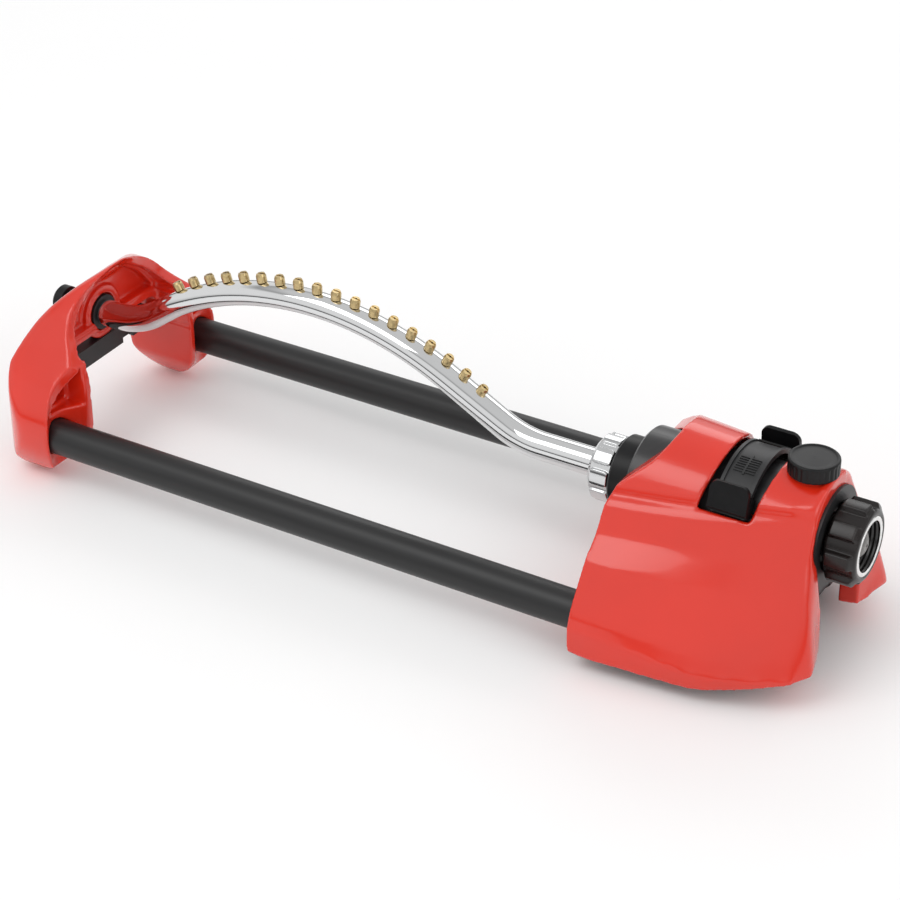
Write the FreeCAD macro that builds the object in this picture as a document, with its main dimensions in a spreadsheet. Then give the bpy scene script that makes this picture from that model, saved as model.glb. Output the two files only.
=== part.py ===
import FreeCAD, Part
import math
import os
import re
import Sketcher

# Oscillating lawn sprinkler.
# Frame: +X runs along the sprinkler towards the hose inlet, +Z is up, and the
# ground is Z = 0. The origin is on the ground below the middle of the length.

V = FreeCAD.Vector
doc = FreeCAD.newDocument("sprinkler")
sheet = doc.addObject("Spreadsheet::Sheet", "sheet")

DIMENSIONS = {
    # frame tubes
    "runner_radius": 9.5,
    "runner_wall": 1.2,
    "runner_offset": 63.8,
    "runner_height": 25.3,
    "runner_start": -208.0,
    "runner_length": 338.0,
    # swing axis and spray tube
    "axis_height": 65.3,
    "tube_radius": 7.2,
    "tube_wall": 1.0,
    "tube_start": -206.0,
    "tube_finish": 103.5,
    "bow_peak_x": -70.0,
    "bow_rise": 42.5,
    "bow_radius": 165.0,
    "bow_left_angle": 34.0,
    "bow_right_angle": 28.0,
    "heel_radius": 50.0,
    "nozzle_count": 18,
    "nozzle_radius": 2.7,
    "nozzle_bore": 0.6,
    "nozzle_height": 4.6,
    "nozzle_first_x": -154.5,
    "nozzle_last_x": 27.0,
    # union nut, neck and motor drum
    "nut_face": 94.5,
    "nut_length": 13.0,
    "nut_radius": 15.6,
    "neck_radius": 19.0,
    "drum_radius": 27.0,
    "drum_face": 120.0,
    "drum_finish": 190.0,
    "drum_wall": 2.4,
    # motor housing
    "housing_face": 118.5,
    "housing_finish": 217.0,
    "housing_wall": 2.6,
    "housing_crown": 99.8,
    # hose end
    "coupling_face": 236.0,
    "coupling_length": 17.0,
    "coupling_radius": 18.0,
    "coupling_lobe_count": 8,
    "thread_radius": 12.5,
    "knob_x": 205.0,
    "knob_radius": 12.3,
    "knob_height": 8.2,
    "knob_top": 104.6,
    # range control
    "scale_radius": 33.2,
    "scale_x": 176.3,
    "scale_width": 17.4,
    # rear arch
    "arch_face": -188.0,
    "bushing_face": -207.0,
    # reduction gears
    "gear_module": 0.7,
    "gear_centre": 11.2,
}
for row, (alias, value) in enumerate(DIMENSIONS.items(), start=1):
    sheet.set("A%d" % row, alias)
    sheet.set("B%d" % row, str(value))
    sheet.setAlias("B%d" % row, alias)
doc.recompute()


def dim(alias):
    """A driving dimension, read back from the sheet."""
    return float(getattr(sheet, alias))


def cell(expression):
    """Turn the aliases named in an expression into sheet references."""
    return re.sub(r"[a-z]\w+", lambda m: "sheet." + m.group() if m.group() in DIMENSIONS
                  else m.group(), str(expression))


def place(obj, x="0", y="0", z="0", axis=None, angle=0.0):
    """Bind an object's position to the sheet, with a fixed turn if given."""
    if axis is not None:
        obj.Placement = FreeCAD.Placement(V(0, 0, 0), FreeCAD.Rotation(V(*axis), angle))
    for path, expression in (("x", x), ("y", y), ("z", z)):
        obj.setExpression("Placement.Base." + path, cell(expression))


PIECES = []


def piece(obj, label):
    """Register an object as one finished piece, written to parts/label.step."""
    obj.Label = label
    PIECES.append(obj)
    return obj


# ---------------------------------------------------------------- primitives

def cylinder(name, radius, length, x="0", y="0", z="0", along="z"):
    obj = doc.addObject("Part::Cylinder", name)
    obj.setExpression("Radius", cell(radius))
    obj.setExpression("Height", cell(length))
    turn = {"x": (V(0, 1, 0), 90), "y": (V(1, 0, 0), -90), "z": (V(0, 0, 1), 0)}[along]
    obj.Placement = FreeCAD.Placement(V(0, 0, 0), FreeCAD.Rotation(*turn))
    place(obj, x, y, z)
    return obj


def cut(name, base, tool):
    obj = doc.addObject("Part::Cut", name)
    obj.Base = base
    obj.Tool = tool
    return obj


def feature(name, shape):
    """A free-form piece whose shape is built from sheet values."""
    obj = doc.addObject("Part::Feature", name)
    obj.Shape = shape
    obj.Placement = FreeCAD.Placement()
    return obj


# ------------------------------------------------------------- turned bodies

def origin_plane(body, role):
    return next(f for f in body.Origin.OriginFeatures if f.Role == role)


def outline(sketch, corners):
    """A closed outline whose corners are each bound to two expressions."""
    doc.recompute()
    values = [(sheet_value(a), sheet_value(b)) for a, b in corners]
    count = len(corners)
    for i in range(count):
        a, b = values[i], values[(i + 1) % count]
        sketch.addGeometry(Part.LineSegment(V(a[0], a[1], 0), V(b[0], b[1], 0)))
    for i in range(count):
        sketch.addConstraint(Sketcher.Constraint("Coincident", i, 2, (i + 1) % count, 1))
    for i, (a, b) in enumerate(corners):
        for kind, expression, value in (("DistanceX", a, values[i][0]),
                                        ("DistanceY", b, values[i][1])):
            index = sketch.addConstraint(Sketcher.Constraint(kind, -1, 1, i, 1, value))
            if str(expression) != "0":
                sketch.setExpression("Constraints[%d]" % index, cell(expression))


def sheet_value(expression):
    """The present value of an expression in the sheet's aliases."""
    text = str(expression)
    try:
        return float(text)
    except ValueError:
        pass
    probe = doc.getObject("probe")
    if probe is None:
        probe = doc.addObject("Part::Box", "probe")
    probe.setExpression("Placement.Base.x", cell(text))
    probe.recompute()
    return probe.Placement.Base.x


def turned(name, corners, axis="x"):
    """A PartDesign body revolved from (along, radius) corners about X or Z."""
    body = doc.addObject("PartDesign::Body", name)
    sketch = body.newObject("Sketcher::SketchObject", name + "_profile")
    sketch.AttachmentSupport = (origin_plane(body, "XZ_Plane"), [""])
    sketch.MapMode = "FlatFace"
    if axis == "x":
        outline(sketch, corners)
    else:
        outline(sketch, [(radius, along) for along, radius in corners])
    turn = body.newObject("PartDesign::Revolution", name + "_turn")
    turn.Profile = sketch
    turn.ReferenceAxis = (sketch, ["H_Axis" if axis == "x" else "V_Axis"])
    turn.Angle = 360.0
    doc.recompute()
    return body


def grip_pattern(body, name, corners, depth, start, count, axis="x", add=True):
    """Repeat a padded or pocketed outline round the turning axis."""
    role = "YZ_Plane" if axis == "x" else "XY_Plane"
    sketch = body.newObject("Sketcher::SketchObject", name + "_outline")
    sketch.AttachmentSupport = (origin_plane(body, role), [""])
    sketch.MapMode = "FlatFace"
    sketch.AttachmentOffset = FreeCAD.Placement(V(0, 0, start), FreeCAD.Rotation())
    outline(sketch, corners)
    kind = "PartDesign::Pad" if add else "PartDesign::Pocket"
    first = body.newObject(kind, name)
    first.Profile = sketch
    first.Length = depth
    first.Reversed = not add
    doc.recompute()
    ring = body.newObject("PartDesign::PolarPattern", name + "_ring")
    ring.Originals = [first]
    ring.Axis = (sketch, ["N_Axis"])
    ring.Angle = 360.0
    ring.Occurrences = count
    body.Tip = ring
    doc.recompute()
    return ring


# =============================================================== frame tubes

def frame_runner(label, side):
    outer = cylinder(label + "_outer", "runner_radius", "runner_length",
                     "runner_start", "%d * runner_offset" % side, "runner_height", "x")
    inner = cylinder(label + "_inner", "runner_radius - runner_wall", "runner_length + 2",
                     "runner_start - 1", "%d * runner_offset" % side, "runner_height", "x")
    piece(cut(label + "_tube", outer, inner), label)


frame_runner("runner_left", -1)
frame_runner("runner_right", 1)


# ================================================================ spray tube

def bow_path():
    """Centre line of the spray tube in the XZ plane: level, up, over, level."""
    z0 = dim("axis_height")
    peak = V(dim("bow_peak_x"), 0, z0 + dim("bow_rise"))
    big, small = dim("bow_radius"), dim("heel_radius")
    left = math.radians(dim("bow_left_angle"))
    right = math.radians(dim("bow_right_angle"))
    centre = peak - V(0, 0, big)

    def on_bow(angle):
        return centre + V(big * math.sin(angle), 0, big * math.cos(angle))

    top_left, top_right = on_bow(-left), on_bow(right)
    corner_left = V(top_left.x - (top_left.z - z0) / math.tan(left), 0, z0)
    corner_right = V(top_right.x + (top_right.z - z0) / math.tan(right), 0, z0)

    def heel(corner, slope, direction):
        reach = small * math.tan(slope / 2)
        flat = corner - V(direction * reach, 0, 0)
        rise = corner + V(direction * reach * math.cos(slope), 0, reach * math.sin(slope))
        middle = V(flat.x + direction * small * math.sin(slope / 2), 0,
                   z0 + small * (1 - math.cos(slope / 2)))
        return flat, middle, rise

    flat_l, mid_l, rise_l = heel(corner_left, left, 1)
    flat_r, mid_r, rise_r = heel(corner_right, right, -1)
    start = V(dim("tube_start"), 0, z0)
    finish = V(dim("tube_finish"), 0, z0)
    edges = [
        Part.LineSegment(start, flat_l),
        Part.Arc(flat_l, mid_l, rise_l),
        Part.LineSegment(rise_l, top_left),
        Part.Arc(top_left, peak, top_right),
        Part.LineSegment(top_right, rise_r),
        Part.Arc(rise_r, mid_r, flat_r),
        Part.LineSegment(flat_r, finish),
    ]
    return Part.Wire([edge.toShape() for edge in edges]), centre


def swept_circle(path, radius):
    ring = Part.Wire(Part.makeCircle(radius, V(dim("tube_start"), 0, dim("axis_height")),
                                     V(1, 0, 0)))
    return path.makePipeShell([ring], True, False)


def nozzle_places():
    """Foot and direction of each nozzle, evenly spaced along the bow."""
    _, centre = bow_path()
    big = dim("bow_radius")
    count = int(dim("nozzle_count"))
    first = math.asin((dim("nozzle_first_x") - centre.x) / (big + dim("tube_radius")))
    last = math.asin((dim("nozzle_last_x") - centre.x) / (big + dim("tube_radius")))
    for i in range(count):
        angle = first + (last - first) * i / (count - 1)
        out = V(math.sin(angle), 0, math.cos(angle))
        yield centre + out * big, out


def spray_tube():
    path, _ = bow_path()
    shape = swept_circle(path, dim("tube_radius"))
    shape = shape.cut(swept_circle(path, dim("tube_radius") - dim("tube_wall")))
    seat = dim("tube_radius") + 0.04
    for centre, out in nozzle_places():
        shape = shape.cut(Part.makeCylinder(NOZZLE_STEM, dim("tube_radius") + 2, centre, out))
        shape = shape.cut(Part.makeCylinder(dim("nozzle_radius") + 0.1, 4,
                                            centre + out * seat, out))
    return shape


NOZZLE_STEM = 1.6
NOZZLE_SLOT = 0.5


def nozzles():
    """Brass jets: a stem through the wall, a round head, a bore and a slot."""
    radius, height, bore = dim("nozzle_radius"), dim("nozzle_height"), dim("nozzle_bore")
    seat = dim("tube_radius") + 0.05
    solids = []
    for centre, out in nozzle_places():
        foot = centre + out * seat
        side = V(0, 1, 0)
        head = Part.makeCylinder(radius, height * 0.72, foot, out)
        neck = Part.makeCone(radius, radius * 0.8, height * 0.28, foot + out * height * 0.72, out)
        stem = Part.makeCylinder(NOZZLE_STEM - 0.02, 1.6, foot - out * 1.6, out)
        jet = head.fuse([neck, stem])
        jet = jet.cut(Part.makeCylinder(bore, height + 6, foot - out * 2, out))
        slot = Part.makeBox(2 * radius + 2, 2 * NOZZLE_SLOT, NOZZLE_SLOT * 2)
        slot.translate(V(-radius - 1, -NOZZLE_SLOT, -NOZZLE_SLOT))
        slot.Placement = FreeCAD.Placement(foot + out * height,
                                           FreeCAD.Rotation(V(0, 0, 1), out)).multiply(
                                               slot.Placement)
        solids.append(jet.cut(slot))
    return Part.makeCompound(solids)


piece(feature("spray_tube_shape", spray_tube()), "spray_tube")
piece(feature("nozzle_set", nozzles()), "nozzles")

union_nut = turned("union_nut_body", [
    ("0", "tube_radius + 0.3"),
    ("3.5", "tube_radius + 0.3"),
    ("3.5", "12.45"),
    ("nut_length", "12.45"),
    ("nut_length", "nut_radius"),
    ("2.5", "nut_radius"),
    ("0", "nut_radius - 2.6"),
])
grip_pattern(union_nut, "union_nut_pad", [
    ("nut_radius - 0.6", "-3.4"), ("nut_radius + 1.2", "-2.7"),
    ("nut_radius + 1.2", "2.7"), ("nut_radius - 0.6", "3.4")], 8.5, 2.6, 9)
place(union_nut, "nut_face", "0", "axis_height")
piece(union_nut, "union_nut")

tube_seal = turned("tube_seal_body", [
    ("0", "tube_radius"), ("2.8", "tube_radius"), ("2.8", "10.5"), ("0", "10.5")])
place(tube_seal, "nut_face + 3.6", "0", "axis_height")
piece(tube_seal, "tube_seal")

end_cap = turned("end_cap_body", [
    ("0", "0"), ("42", "0"), ("42", "tube_radius - tube_wall - 0.03"),
    ("30", "tube_radius - tube_wall - 0.03"), ("30", "5.6"), ("6", "5.6"),
    ("6", "8.2"), ("1.2", "8.2"), ("0", "7")])
place(end_cap, "tube_start - 30", "0", "axis_height")
piece(end_cap, "end_cap")


# ================================================================= rear arch

ARCH_WALL = 2.8


def closed_face(points, to_vector):
    wire = Part.makePolygon([to_vector(*p) for p in points + points[:1]])
    return Part.Face(wire)


def arch_outline(inset=0.0):
    """Front view of the end piece, feet down, as (y, z) from the middle out."""
    outer = [(0, 103), (13, 100), (26, 92), (39, 81), (48, 70), (57, 59), (68, 48),
             (73.5, 38), (75.5, 28), (74, 17), (69, 8), (63, 0.8), (58, 0)]
    inner = [(52, 5.5), (46, 12.5), (44, 19), (44, 44), (39, 52), (26, 56), (0, 57)]
    outer = [(max(y - inset, 0), z - 0.6 * inset if z > 30 else z + 0.8 * inset)
             for y, z in outer]
    inner = [(y + (inset if y > 0 else 0), z + 0.7 * inset) for y, z in inner]
    return outer + inner


def arch_block(inset=0.0):
    """The end piece as the meeting of its front, side and plan outlines."""
    face = dim("arch_face")
    half = arch_outline(inset)
    right = closed_face(half, lambda y, z: V(face - 45, y, z))
    front = right.extrude(V(60, 0, 0))
    front = front.fuse(front.mirror(V(0, 0, 0), V(0, 1, 0))).removeSplitter()
    side_points = [(-3.5, 104), (-9, 100), (-27, 85.5), (-36, 70), (-40, 45), (-40, 20),
                   (-34, 9), (-24, 0), (-12, 0), (-3, 9), (1, 20), (1, 38), (-2, 60),
                   (-8, 80)]
    side = closed_face([(x, z) for x, z in side_points],
                       lambda x, z: V(face + x, -90, z)).extrude(V(0, 180, 0))
    plan_points = [(10, -18), (2, -30), (1, -76), (-12, -77), (-28, -71), (-38, -60),
                   (-41, -40), (-41, 40), (-38, 60), (-28, 71), (-12, 77), (1, 76),
                   (2, 30), (10, 18)]
    plan = closed_face(plan_points, lambda x, y: V(face + x, y, -5)).extrude(V(0, 0, 120))
    return front.common(side).common(plan)


def rear_arch():
    face, axis = dim("arch_face"), dim("axis_height")
    shape = arch_block()
    pocket = arch_block(ARCH_WALL)
    pocket = pocket.common(Part.makeBox(60, 180, 120, V(face - 26, -90, -5)))
    pocket.translate(V(1.5, 0, 0))
    pocket = pocket.fuse(pocket.translated(V(4, 0, 0)))
    shape = shape.cut(pocket)
    for side in (-1, 1):
        y, z = side * dim("runner_offset"), dim("runner_height")
        reach = dim("runner_start") - face
        boss = Part.makeCylinder(dim("runner_radius") + 2.2, -reach + 4,
                                 V(face + reach - 4, y, z), V(1, 0, 0))
        shape = shape.fuse(boss)
        shape = shape.cut(Part.makeCylinder(dim("runner_radius"), -reach + 30,
                                            V(face + reach, y, z), V(1, 0, 0)))
    bearing = Part.makeCylinder(13.5, 14, V(dim("bushing_face") - 15, 0, axis), V(1, 0, 0))
    shape = shape.fuse(bearing)
    clear = Part.makeCylinder(13.0, 60, V(dim("bushing_face") - 3.5, 0, axis), V(1, 0, 0))
    clear = clear.fuse(Part.makeCylinder(11.0, 40, V(dim("bushing_face") - 15, 0, axis),
                                         V(-1, 0, 0)))
    bore = Part.makeCylinder(8.0, 60, V(dim("bushing_face") - 40, 0, axis), V(1, 0, 0))
    return shape.cut(clear).cut(bore).removeSplitter()


piece(feature("rear_arch_shape", rear_arch()), "rear_arch")

rear_bushing = turned("rear_bushing_body", [
    ("0", "5.65"), ("15.5", "5.65"), ("15.5", "9.6"), ("11.5", "9.6"), ("11.5", "8"), ("0", "8")])
place(rear_bushing, "bushing_face - 15", "0", "axis_height")
piece(rear_bushing, "rear_bushing")


BRACE_START = -215.0
BRACE_DEPTH = 9.0
# half outline of the strut seen from the front, as (y, z)
BRACE_OUTLINE = [(43.6, 40.0), (43.6, 43.4), (38.6, 51.2)]
BRACE_SLOT = (18.0, 9.0, 3.0)


def cross_brace():
    """A strut between the inner walls of the two legs, right under the bearing."""
    corners = BRACE_OUTLINE + [(-y, z) for y, z in reversed(BRACE_OUTLINE)]
    beam = closed_face(corners, lambda y, z: V(BRACE_START, y, z)).extrude(V(BRACE_DEPTH, 0, 0))
    offset, width, depth = BRACE_SLOT
    slot = Part.makeBox(BRACE_DEPTH + 2, width, depth + 1,
                        V(BRACE_START - 1, offset - width / 2, BRACE_OUTLINE[0][1] - 1))
    return beam.cut(slot)


piece(feature("cross_brace_shape", cross_brace()), "cross_brace")


# ============================================================= motor housing

SKIRT_STATIONS = [
    # x, shoulder y, shoulder z, knee y, knee z, foot y, foot z
    (112.0, 36.0, 81.0, 77.0, 28.0, 76.4, 8.3),
    (131.0, 33.2, 82.2, 75.4, 27.0, 75.6, 8.0),
    (150.0, 30.0, 83.5, 73.0, 26.0, 74.0, 8.0),
    (166.0, 27.8, 84.7, 70.2, 25.4, 72.2, 8.1),
    (182.0, 25.5, 86.0, 66.5, 25.0, 69.5, 8.5),
    (196.0, 23.2, 87.4, 61.8, 25.3, 65.8, 9.9),
    (206.0, 21.8, 88.5, 57.0, 26.0, 62.0, 11.5),
    (215.0, 20.4, 89.3, 51.5, 27.0, 56.0, 13.0),
    (222.0, 19.5, 90.0, 46.0, 28.0, 50.0, 14.5),
    (236.0, 17.5, 91.0, 35.0, 30.0, 38.0, 17.5),
]


def station_wire(station, inset):
    x, ys, zs, yk, zk, yf, zf = station
    crown = dim("housing_crown") - 0.050 * (x - dim("housing_face")) - inset
    ys, yk, yf = ys - 0.9 * inset, yk - 1.1 * inset, yf - 1.05 * inset
    zs, zf = zs - 0.8 * inset, zf - (5.0 if inset else 0.0)
    left_foot, left_knee, left = V(x, -yf, zf), V(x, -yk, zk), V(x, -ys, zs)
    right_foot, right_knee, right = V(x, yf, zf), V(x, yk, zk), V(x, ys, zs)
    return Part.Wire([
        Part.LineSegment(left_foot, left_knee).toShape(),
        Part.LineSegment(left_knee, left).toShape(),
        Part.Arc(left, V(x, 0, crown), right).toShape(),
        Part.LineSegment(right, right_knee).toShape(),
        Part.LineSegment(right_knee, right_foot).toShape(),
        Part.LineSegment(right_foot, left_foot).toShape(),
    ])


def housing_block(inset=0.0):
    """The housing's outer form, or its inner form when inset by the wall."""
    wires = [station_wire(station, inset) for station in SKIRT_STATIONS]
    block_shape = Part.makeLoft(wires, True, True)
    face, finish = dim("housing_face") + inset, dim("housing_finish") - 2 * inset
    outline_points = [(face, -5), (face, 77), (face + 3, 81), (face + 18, 96), (face + 20, 102),
                      (finish, 102), (finish, 89), (finish + 14, 15), (finish + 14, -5)]
    envelope = closed_face(outline_points, lambda x, z: V(x, -90, z)).extrude(V(0, 180, 0))
    return block_shape.common(envelope)


def sector(radius_in, radius_out, start, finish, x, width):
    """Part of a ring round the swing axis; angles from straight up, +Y side positive."""
    axis = dim("axis_height")

    def at(radius, angle):
        a = math.radians(angle)
        return V(x, radius * math.sin(a), axis + radius * math.cos(a))

    middle = (start + finish) / 2
    wire = Part.Wire([
        Part.Arc(at(radius_out, start), at(radius_out, middle), at(radius_out, finish)).toShape(),
        Part.LineSegment(at(radius_out, finish), at(radius_in, finish)).toShape(),
        Part.Arc(at(radius_in, finish), at(radius_in, middle), at(radius_in, start)).toShape(),
        Part.LineSegment(at(radius_in, start), at(radius_out, start)).toShape(),
    ])
    return Part.Face(wire).extrude(V(width, 0, 0))


def x_cylinder(radius, x, length, y=0.0, z=None):
    height = dim("axis_height") if z is None else z
    return Part.makeCylinder(radius, length, V(x, y, height), V(1, 0, 0))


HOSE_OPENING = 22.5
HOSE_RECESS = 25.4
CHANNEL_ANGLE = 66.0
# side view of the tab channel: (x, z) corners, raked towards the hose end
CHANNEL_CORNERS = [(160.8, 76.0), (167.0, 106.0), (193.0, 106.0), (187.4, 76.0)]
BASE_SCREW_PLACES = [(140.0, -52.0), (140.0, 52.0), (190.0, -48.0), (190.0, 48.0)]
BASE_SEAT = 13.0


def range_channel():
    """The slanted slot over the barrel in which the two range tabs slide."""
    slot = closed_face(CHANNEL_CORNERS, lambda x, z: V(x, -60, z)).extrude(V(0, 120, 0))
    return slot.common(sector(24, 60, -CHANNEL_ANGLE, CHANNEL_ANGLE, 150, 60))


def motor_housing():
    axis, x_knob = dim("axis_height"), dim("knob_x")
    solid = housing_block()
    shape = solid.cut(housing_block(dim("housing_wall")))
    face, finish = dim("housing_face"), dim("housing_finish")
    inside = housing_block(0.8)
    # round opening for the motor drum
    shape = shape.cut(x_cylinder(dim("drum_radius") + 0.4, face - 10, 40))
    # sockets for the frame tubes
    for side in (-1, 1):
        y, z = side * dim("runner_offset"), dim("runner_height")
        boss = x_cylinder(dim("runner_radius") + 2.4, face + 0.5, 13.5, y, z).common(inside)
        shape = shape.fuse(boss)
        shape = shape.cut(x_cylinder(dim("runner_radius"), face - 10, 21.5, y, z))
    # posts that take the screws of the base cover
    for x, y in BASE_SCREW_PLACES:
        post = Part.makeCylinder(4.2, 80, V(x, y, BASE_SEAT)).common(inside)
        shape = shape.fuse(post).cut(Part.makeCylinder(1.6, 16, V(x, y, BASE_SEAT - 1)))
    # round hose end with its under-arch, widened in front for the flange's plate
    for half_width, x in ((HOSE_OPENING, finish - 12), (HOSE_RECESS, finish)):
        arch = x_cylinder(half_width, x, 40)
        arch = arch.fuse(Part.makeBox(40, 2 * half_width, axis + 5, V(x, -half_width, -5)))
        shape = shape.cut(arch)
    shape = shape.cut(range_channel())
    # collar and hole for the valve spindle
    collar = Part.makeCylinder(9.2, 6, V(x_knob, 0, dim("knob_top") - dim("knob_height") - 6.4))
    shape = shape.fuse(collar)
    return shape.cut(Part.makeCylinder(6.4, 60, V(x_knob, 0, axis + 5))).removeSplitter()


piece(feature("motor_housing_shape", motor_housing()), "motor_housing")


# ======================================================= neck and motor drum

output_neck = turned("output_neck_body", [
    ("-6.5", "tube_radius"), ("-3.8", "tube_radius"), ("-3.8", "5.4"), ("33", "5.4"),
    ("33", "7"), ("19", "7"), ("19", "9"), ("12", "9"),
    ("12", "neck_radius - 1.2"), ("10.8", "neck_radius"), ("1.2", "neck_radius"),
    ("0", "neck_radius - 1.2"), ("0", "12.4"), ("-6.5", "12.4")])
place(output_neck, "nut_face + nut_length", "0", "axis_height")
piece(output_neck, "output_neck")

neck_seal = turned("neck_seal_body", [
    ("0", "9.05"), ("2.2", "9.05"), ("2.2", "11.95"), ("0", "11.95")])
place(neck_seal, "drum_face + 3.1", "0", "axis_height")
piece(neck_seal, "neck_seal")

PIN_RADIUS = 1.2
PIN_ANGLES = {"first": 150.0, "second": 210.0}
PIN_START = 125.7
PIN_FINISH = 155.5


def on_ring(radius, angle):
    """(y, z) at an angle from straight up round the swing axis."""
    a = math.radians(angle)
    return radius * math.sin(a), dim("axis_height") + radius * math.cos(a)


def pin_shape(angle, radius):
    y, z = on_ring(dim("gear_centre"), angle)
    return x_cylinder(radius, PIN_START, PIN_FINISH - PIN_START, y, z)


def pins(radius):
    return Part.makeCompound([pin_shape(angle, radius) for angle in PIN_ANGLES.values()])


LUG_ANGLES = (100.0, 180.0, 260.0)
LUG_OFFSET = 2.6
LUG_RADIUS = 4.2


def with_lugs(shape, start, finish, hole):
    """Add screw lugs beside the drum and bore them."""
    for angle in LUG_ANGLES:
        y, z = on_ring(dim("drum_radius") + LUG_OFFSET, angle)
        lug = x_cylinder(LUG_RADIUS, start, finish - start, y, z)
        lug = lug.cut(x_cylinder(dim("drum_radius") - 0.4, start - 1, finish - start + 2))
        shape = shape.fuse(lug)
        shape = shape.cut(x_cylinder(hole, start - 1, finish - start + 2, y, z))
    return shape


CASE_FINISH = 166.0
CAP_START = 173.0
PLATE_X = 153.5
SHAFT_RADIUS = 1.5
SHAFT_BORE = 1.56


def motor_case():
    """Outlet half of the drum, round the neck and the gears."""
    face, radius, wall = dim("drum_face"), dim("drum_radius"), dim("drum_wall")
    shape = x_cylinder(radius, face, CASE_FINISH - face)
    rim = [e for e in shape.Edges if abs(e.BoundBox.XMax - face) < 0.01]
    shape = shape.makeChamfer(1.2, rim)
    shape = shape.cut(x_cylinder(radius - wall, face + 3, CASE_FINISH))
    shape = shape.fuse(x_cylinder(13.5, face, 7.5))
    shape = shape.cut(x_cylinder(9.06, face - 1, 12))
    shape = shape.cut(x_cylinder(12, face + 3, 2.4))
    shape = shape.cut(pins(PIN_RADIUS))
    return with_lugs(shape, CASE_FINISH - 8, CASE_FINISH, 1.5).removeSplitter()


def gear_plate():
    """Bearing plate behind the gears, drilled for the two pins and the water."""
    radius = dim("drum_radius") - dim("drum_wall")
    shape = x_cylinder(radius, PLATE_X, 2.0)
    shape = shape.cut(x_cylinder(SHAFT_BORE, 150, 10)).cut(pins(PIN_RADIUS))
    for angle in range(0, 360, 60):
        y, z = on_ring(18.0, angle)
        shape = shape.cut(x_cylinder(3.0, 150, 10, y, z))
    return shape


def motor_cap():
    """Inlet half of the drum, with a spider that carries the turbine shaft."""
    radius, wall, finish = dim("drum_radius"), dim("drum_wall"), dim("drum_finish")
    shape = x_cylinder(radius, CAP_START, finish - CAP_START)
    shape = shape.cut(x_cylinder(radius - wall, CAP_START - 1, finish - CAP_START - 2))
    shape = shape.cut(x_cylinder(8.0, CAP_START, 40))
    spider = x_cylinder(4.0, CAP_START + 2, 4)
    for angle in (0, 120, 240):
        arm = Part.makeBox(4, 2.4, radius - 1.5, V(CAP_START + 2, -1.2, 0))
        arm.rotate(V(0, 0, 0), V(1, 0, 0), -angle)
        arm.translate(V(0, 0, dim("axis_height")))
        spider = spider.fuse(arm)
    spider = spider.cut(x_cylinder(SHAFT_BORE, CAP_START, 12))
    shape = shape.fuse(spider)
    return with_lugs(shape, CAP_START, CAP_START + 8, 1.5).removeSplitter()


piece(feature("motor_case_shape", motor_case()), "motor_case")
piece(feature("gear_plate_shape", gear_plate()), "gear_plate")
piece(feature("motor_cap_shape", motor_cap()), "motor_cap")
piece(feature("gear_pin_pair", pins(PIN_RADIUS)), "gear_pins")


# ==================================================== reduction gears, turbine

def gear_wheel(teeth, station, y, z, phase):
    """A spur gear about X with straight-flanked teeth; phase in degrees."""
    x, width = station
    module = dim("gear_module")
    pitch = module * teeth / 2
    root, tip = pitch - 1.1 * module, pitch + 0.75 * module
    step = 360.0 / teeth
    points = []
    for i in range(teeth):
        centre = phase + i * step
        for radius, share in ((root, -0.30), (pitch, -0.215), (tip, -0.11),
                              (tip, 0.11), (pitch, 0.215), (root, 0.30)):
            a = math.radians(centre + share * step)
            points.append(V(x, y + radius * math.sin(a), z + radius * math.cos(a)))
    return Part.Face(Part.makePolygon(points + points[:1])).extrude(V(width, 0, 0))


OUTPUT_TEETH, SECOND_PINION = 24, 8
SECOND_WHEEL, FIRST_PINION = 22, 10
FIRST_WHEEL, TURBINE_PINION = 22, 10
# where each toothed ring starts along X, and how wide it is
OUTPUT_RING = (134.0, 5.0)
SECOND_PINION_RING, SECOND_WHEEL_RING = (133.0, 9.0), (142.0, 3.0)
FIRST_PINION_RING, FIRST_WHEEL_RING = (141.5, 7.5), (149.0, 3.0)
TURBINE_RING = (148.6, 3.8)
NECK_SHAFT_RADIUS = 7.0


def mesh_phase(teeth, driver_phase, driver_teeth, direction):
    """Phase that puts a gap of one wheel against a tooth of its neighbour.

    direction is the angle from the driver's centre to this wheel's centre."""
    step = 360.0 / driver_teeth
    lead = ((driver_phase - direction) / step) % 1.0
    return direction + 180.0 + (0.5 - lead) * 360.0 / teeth


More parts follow.
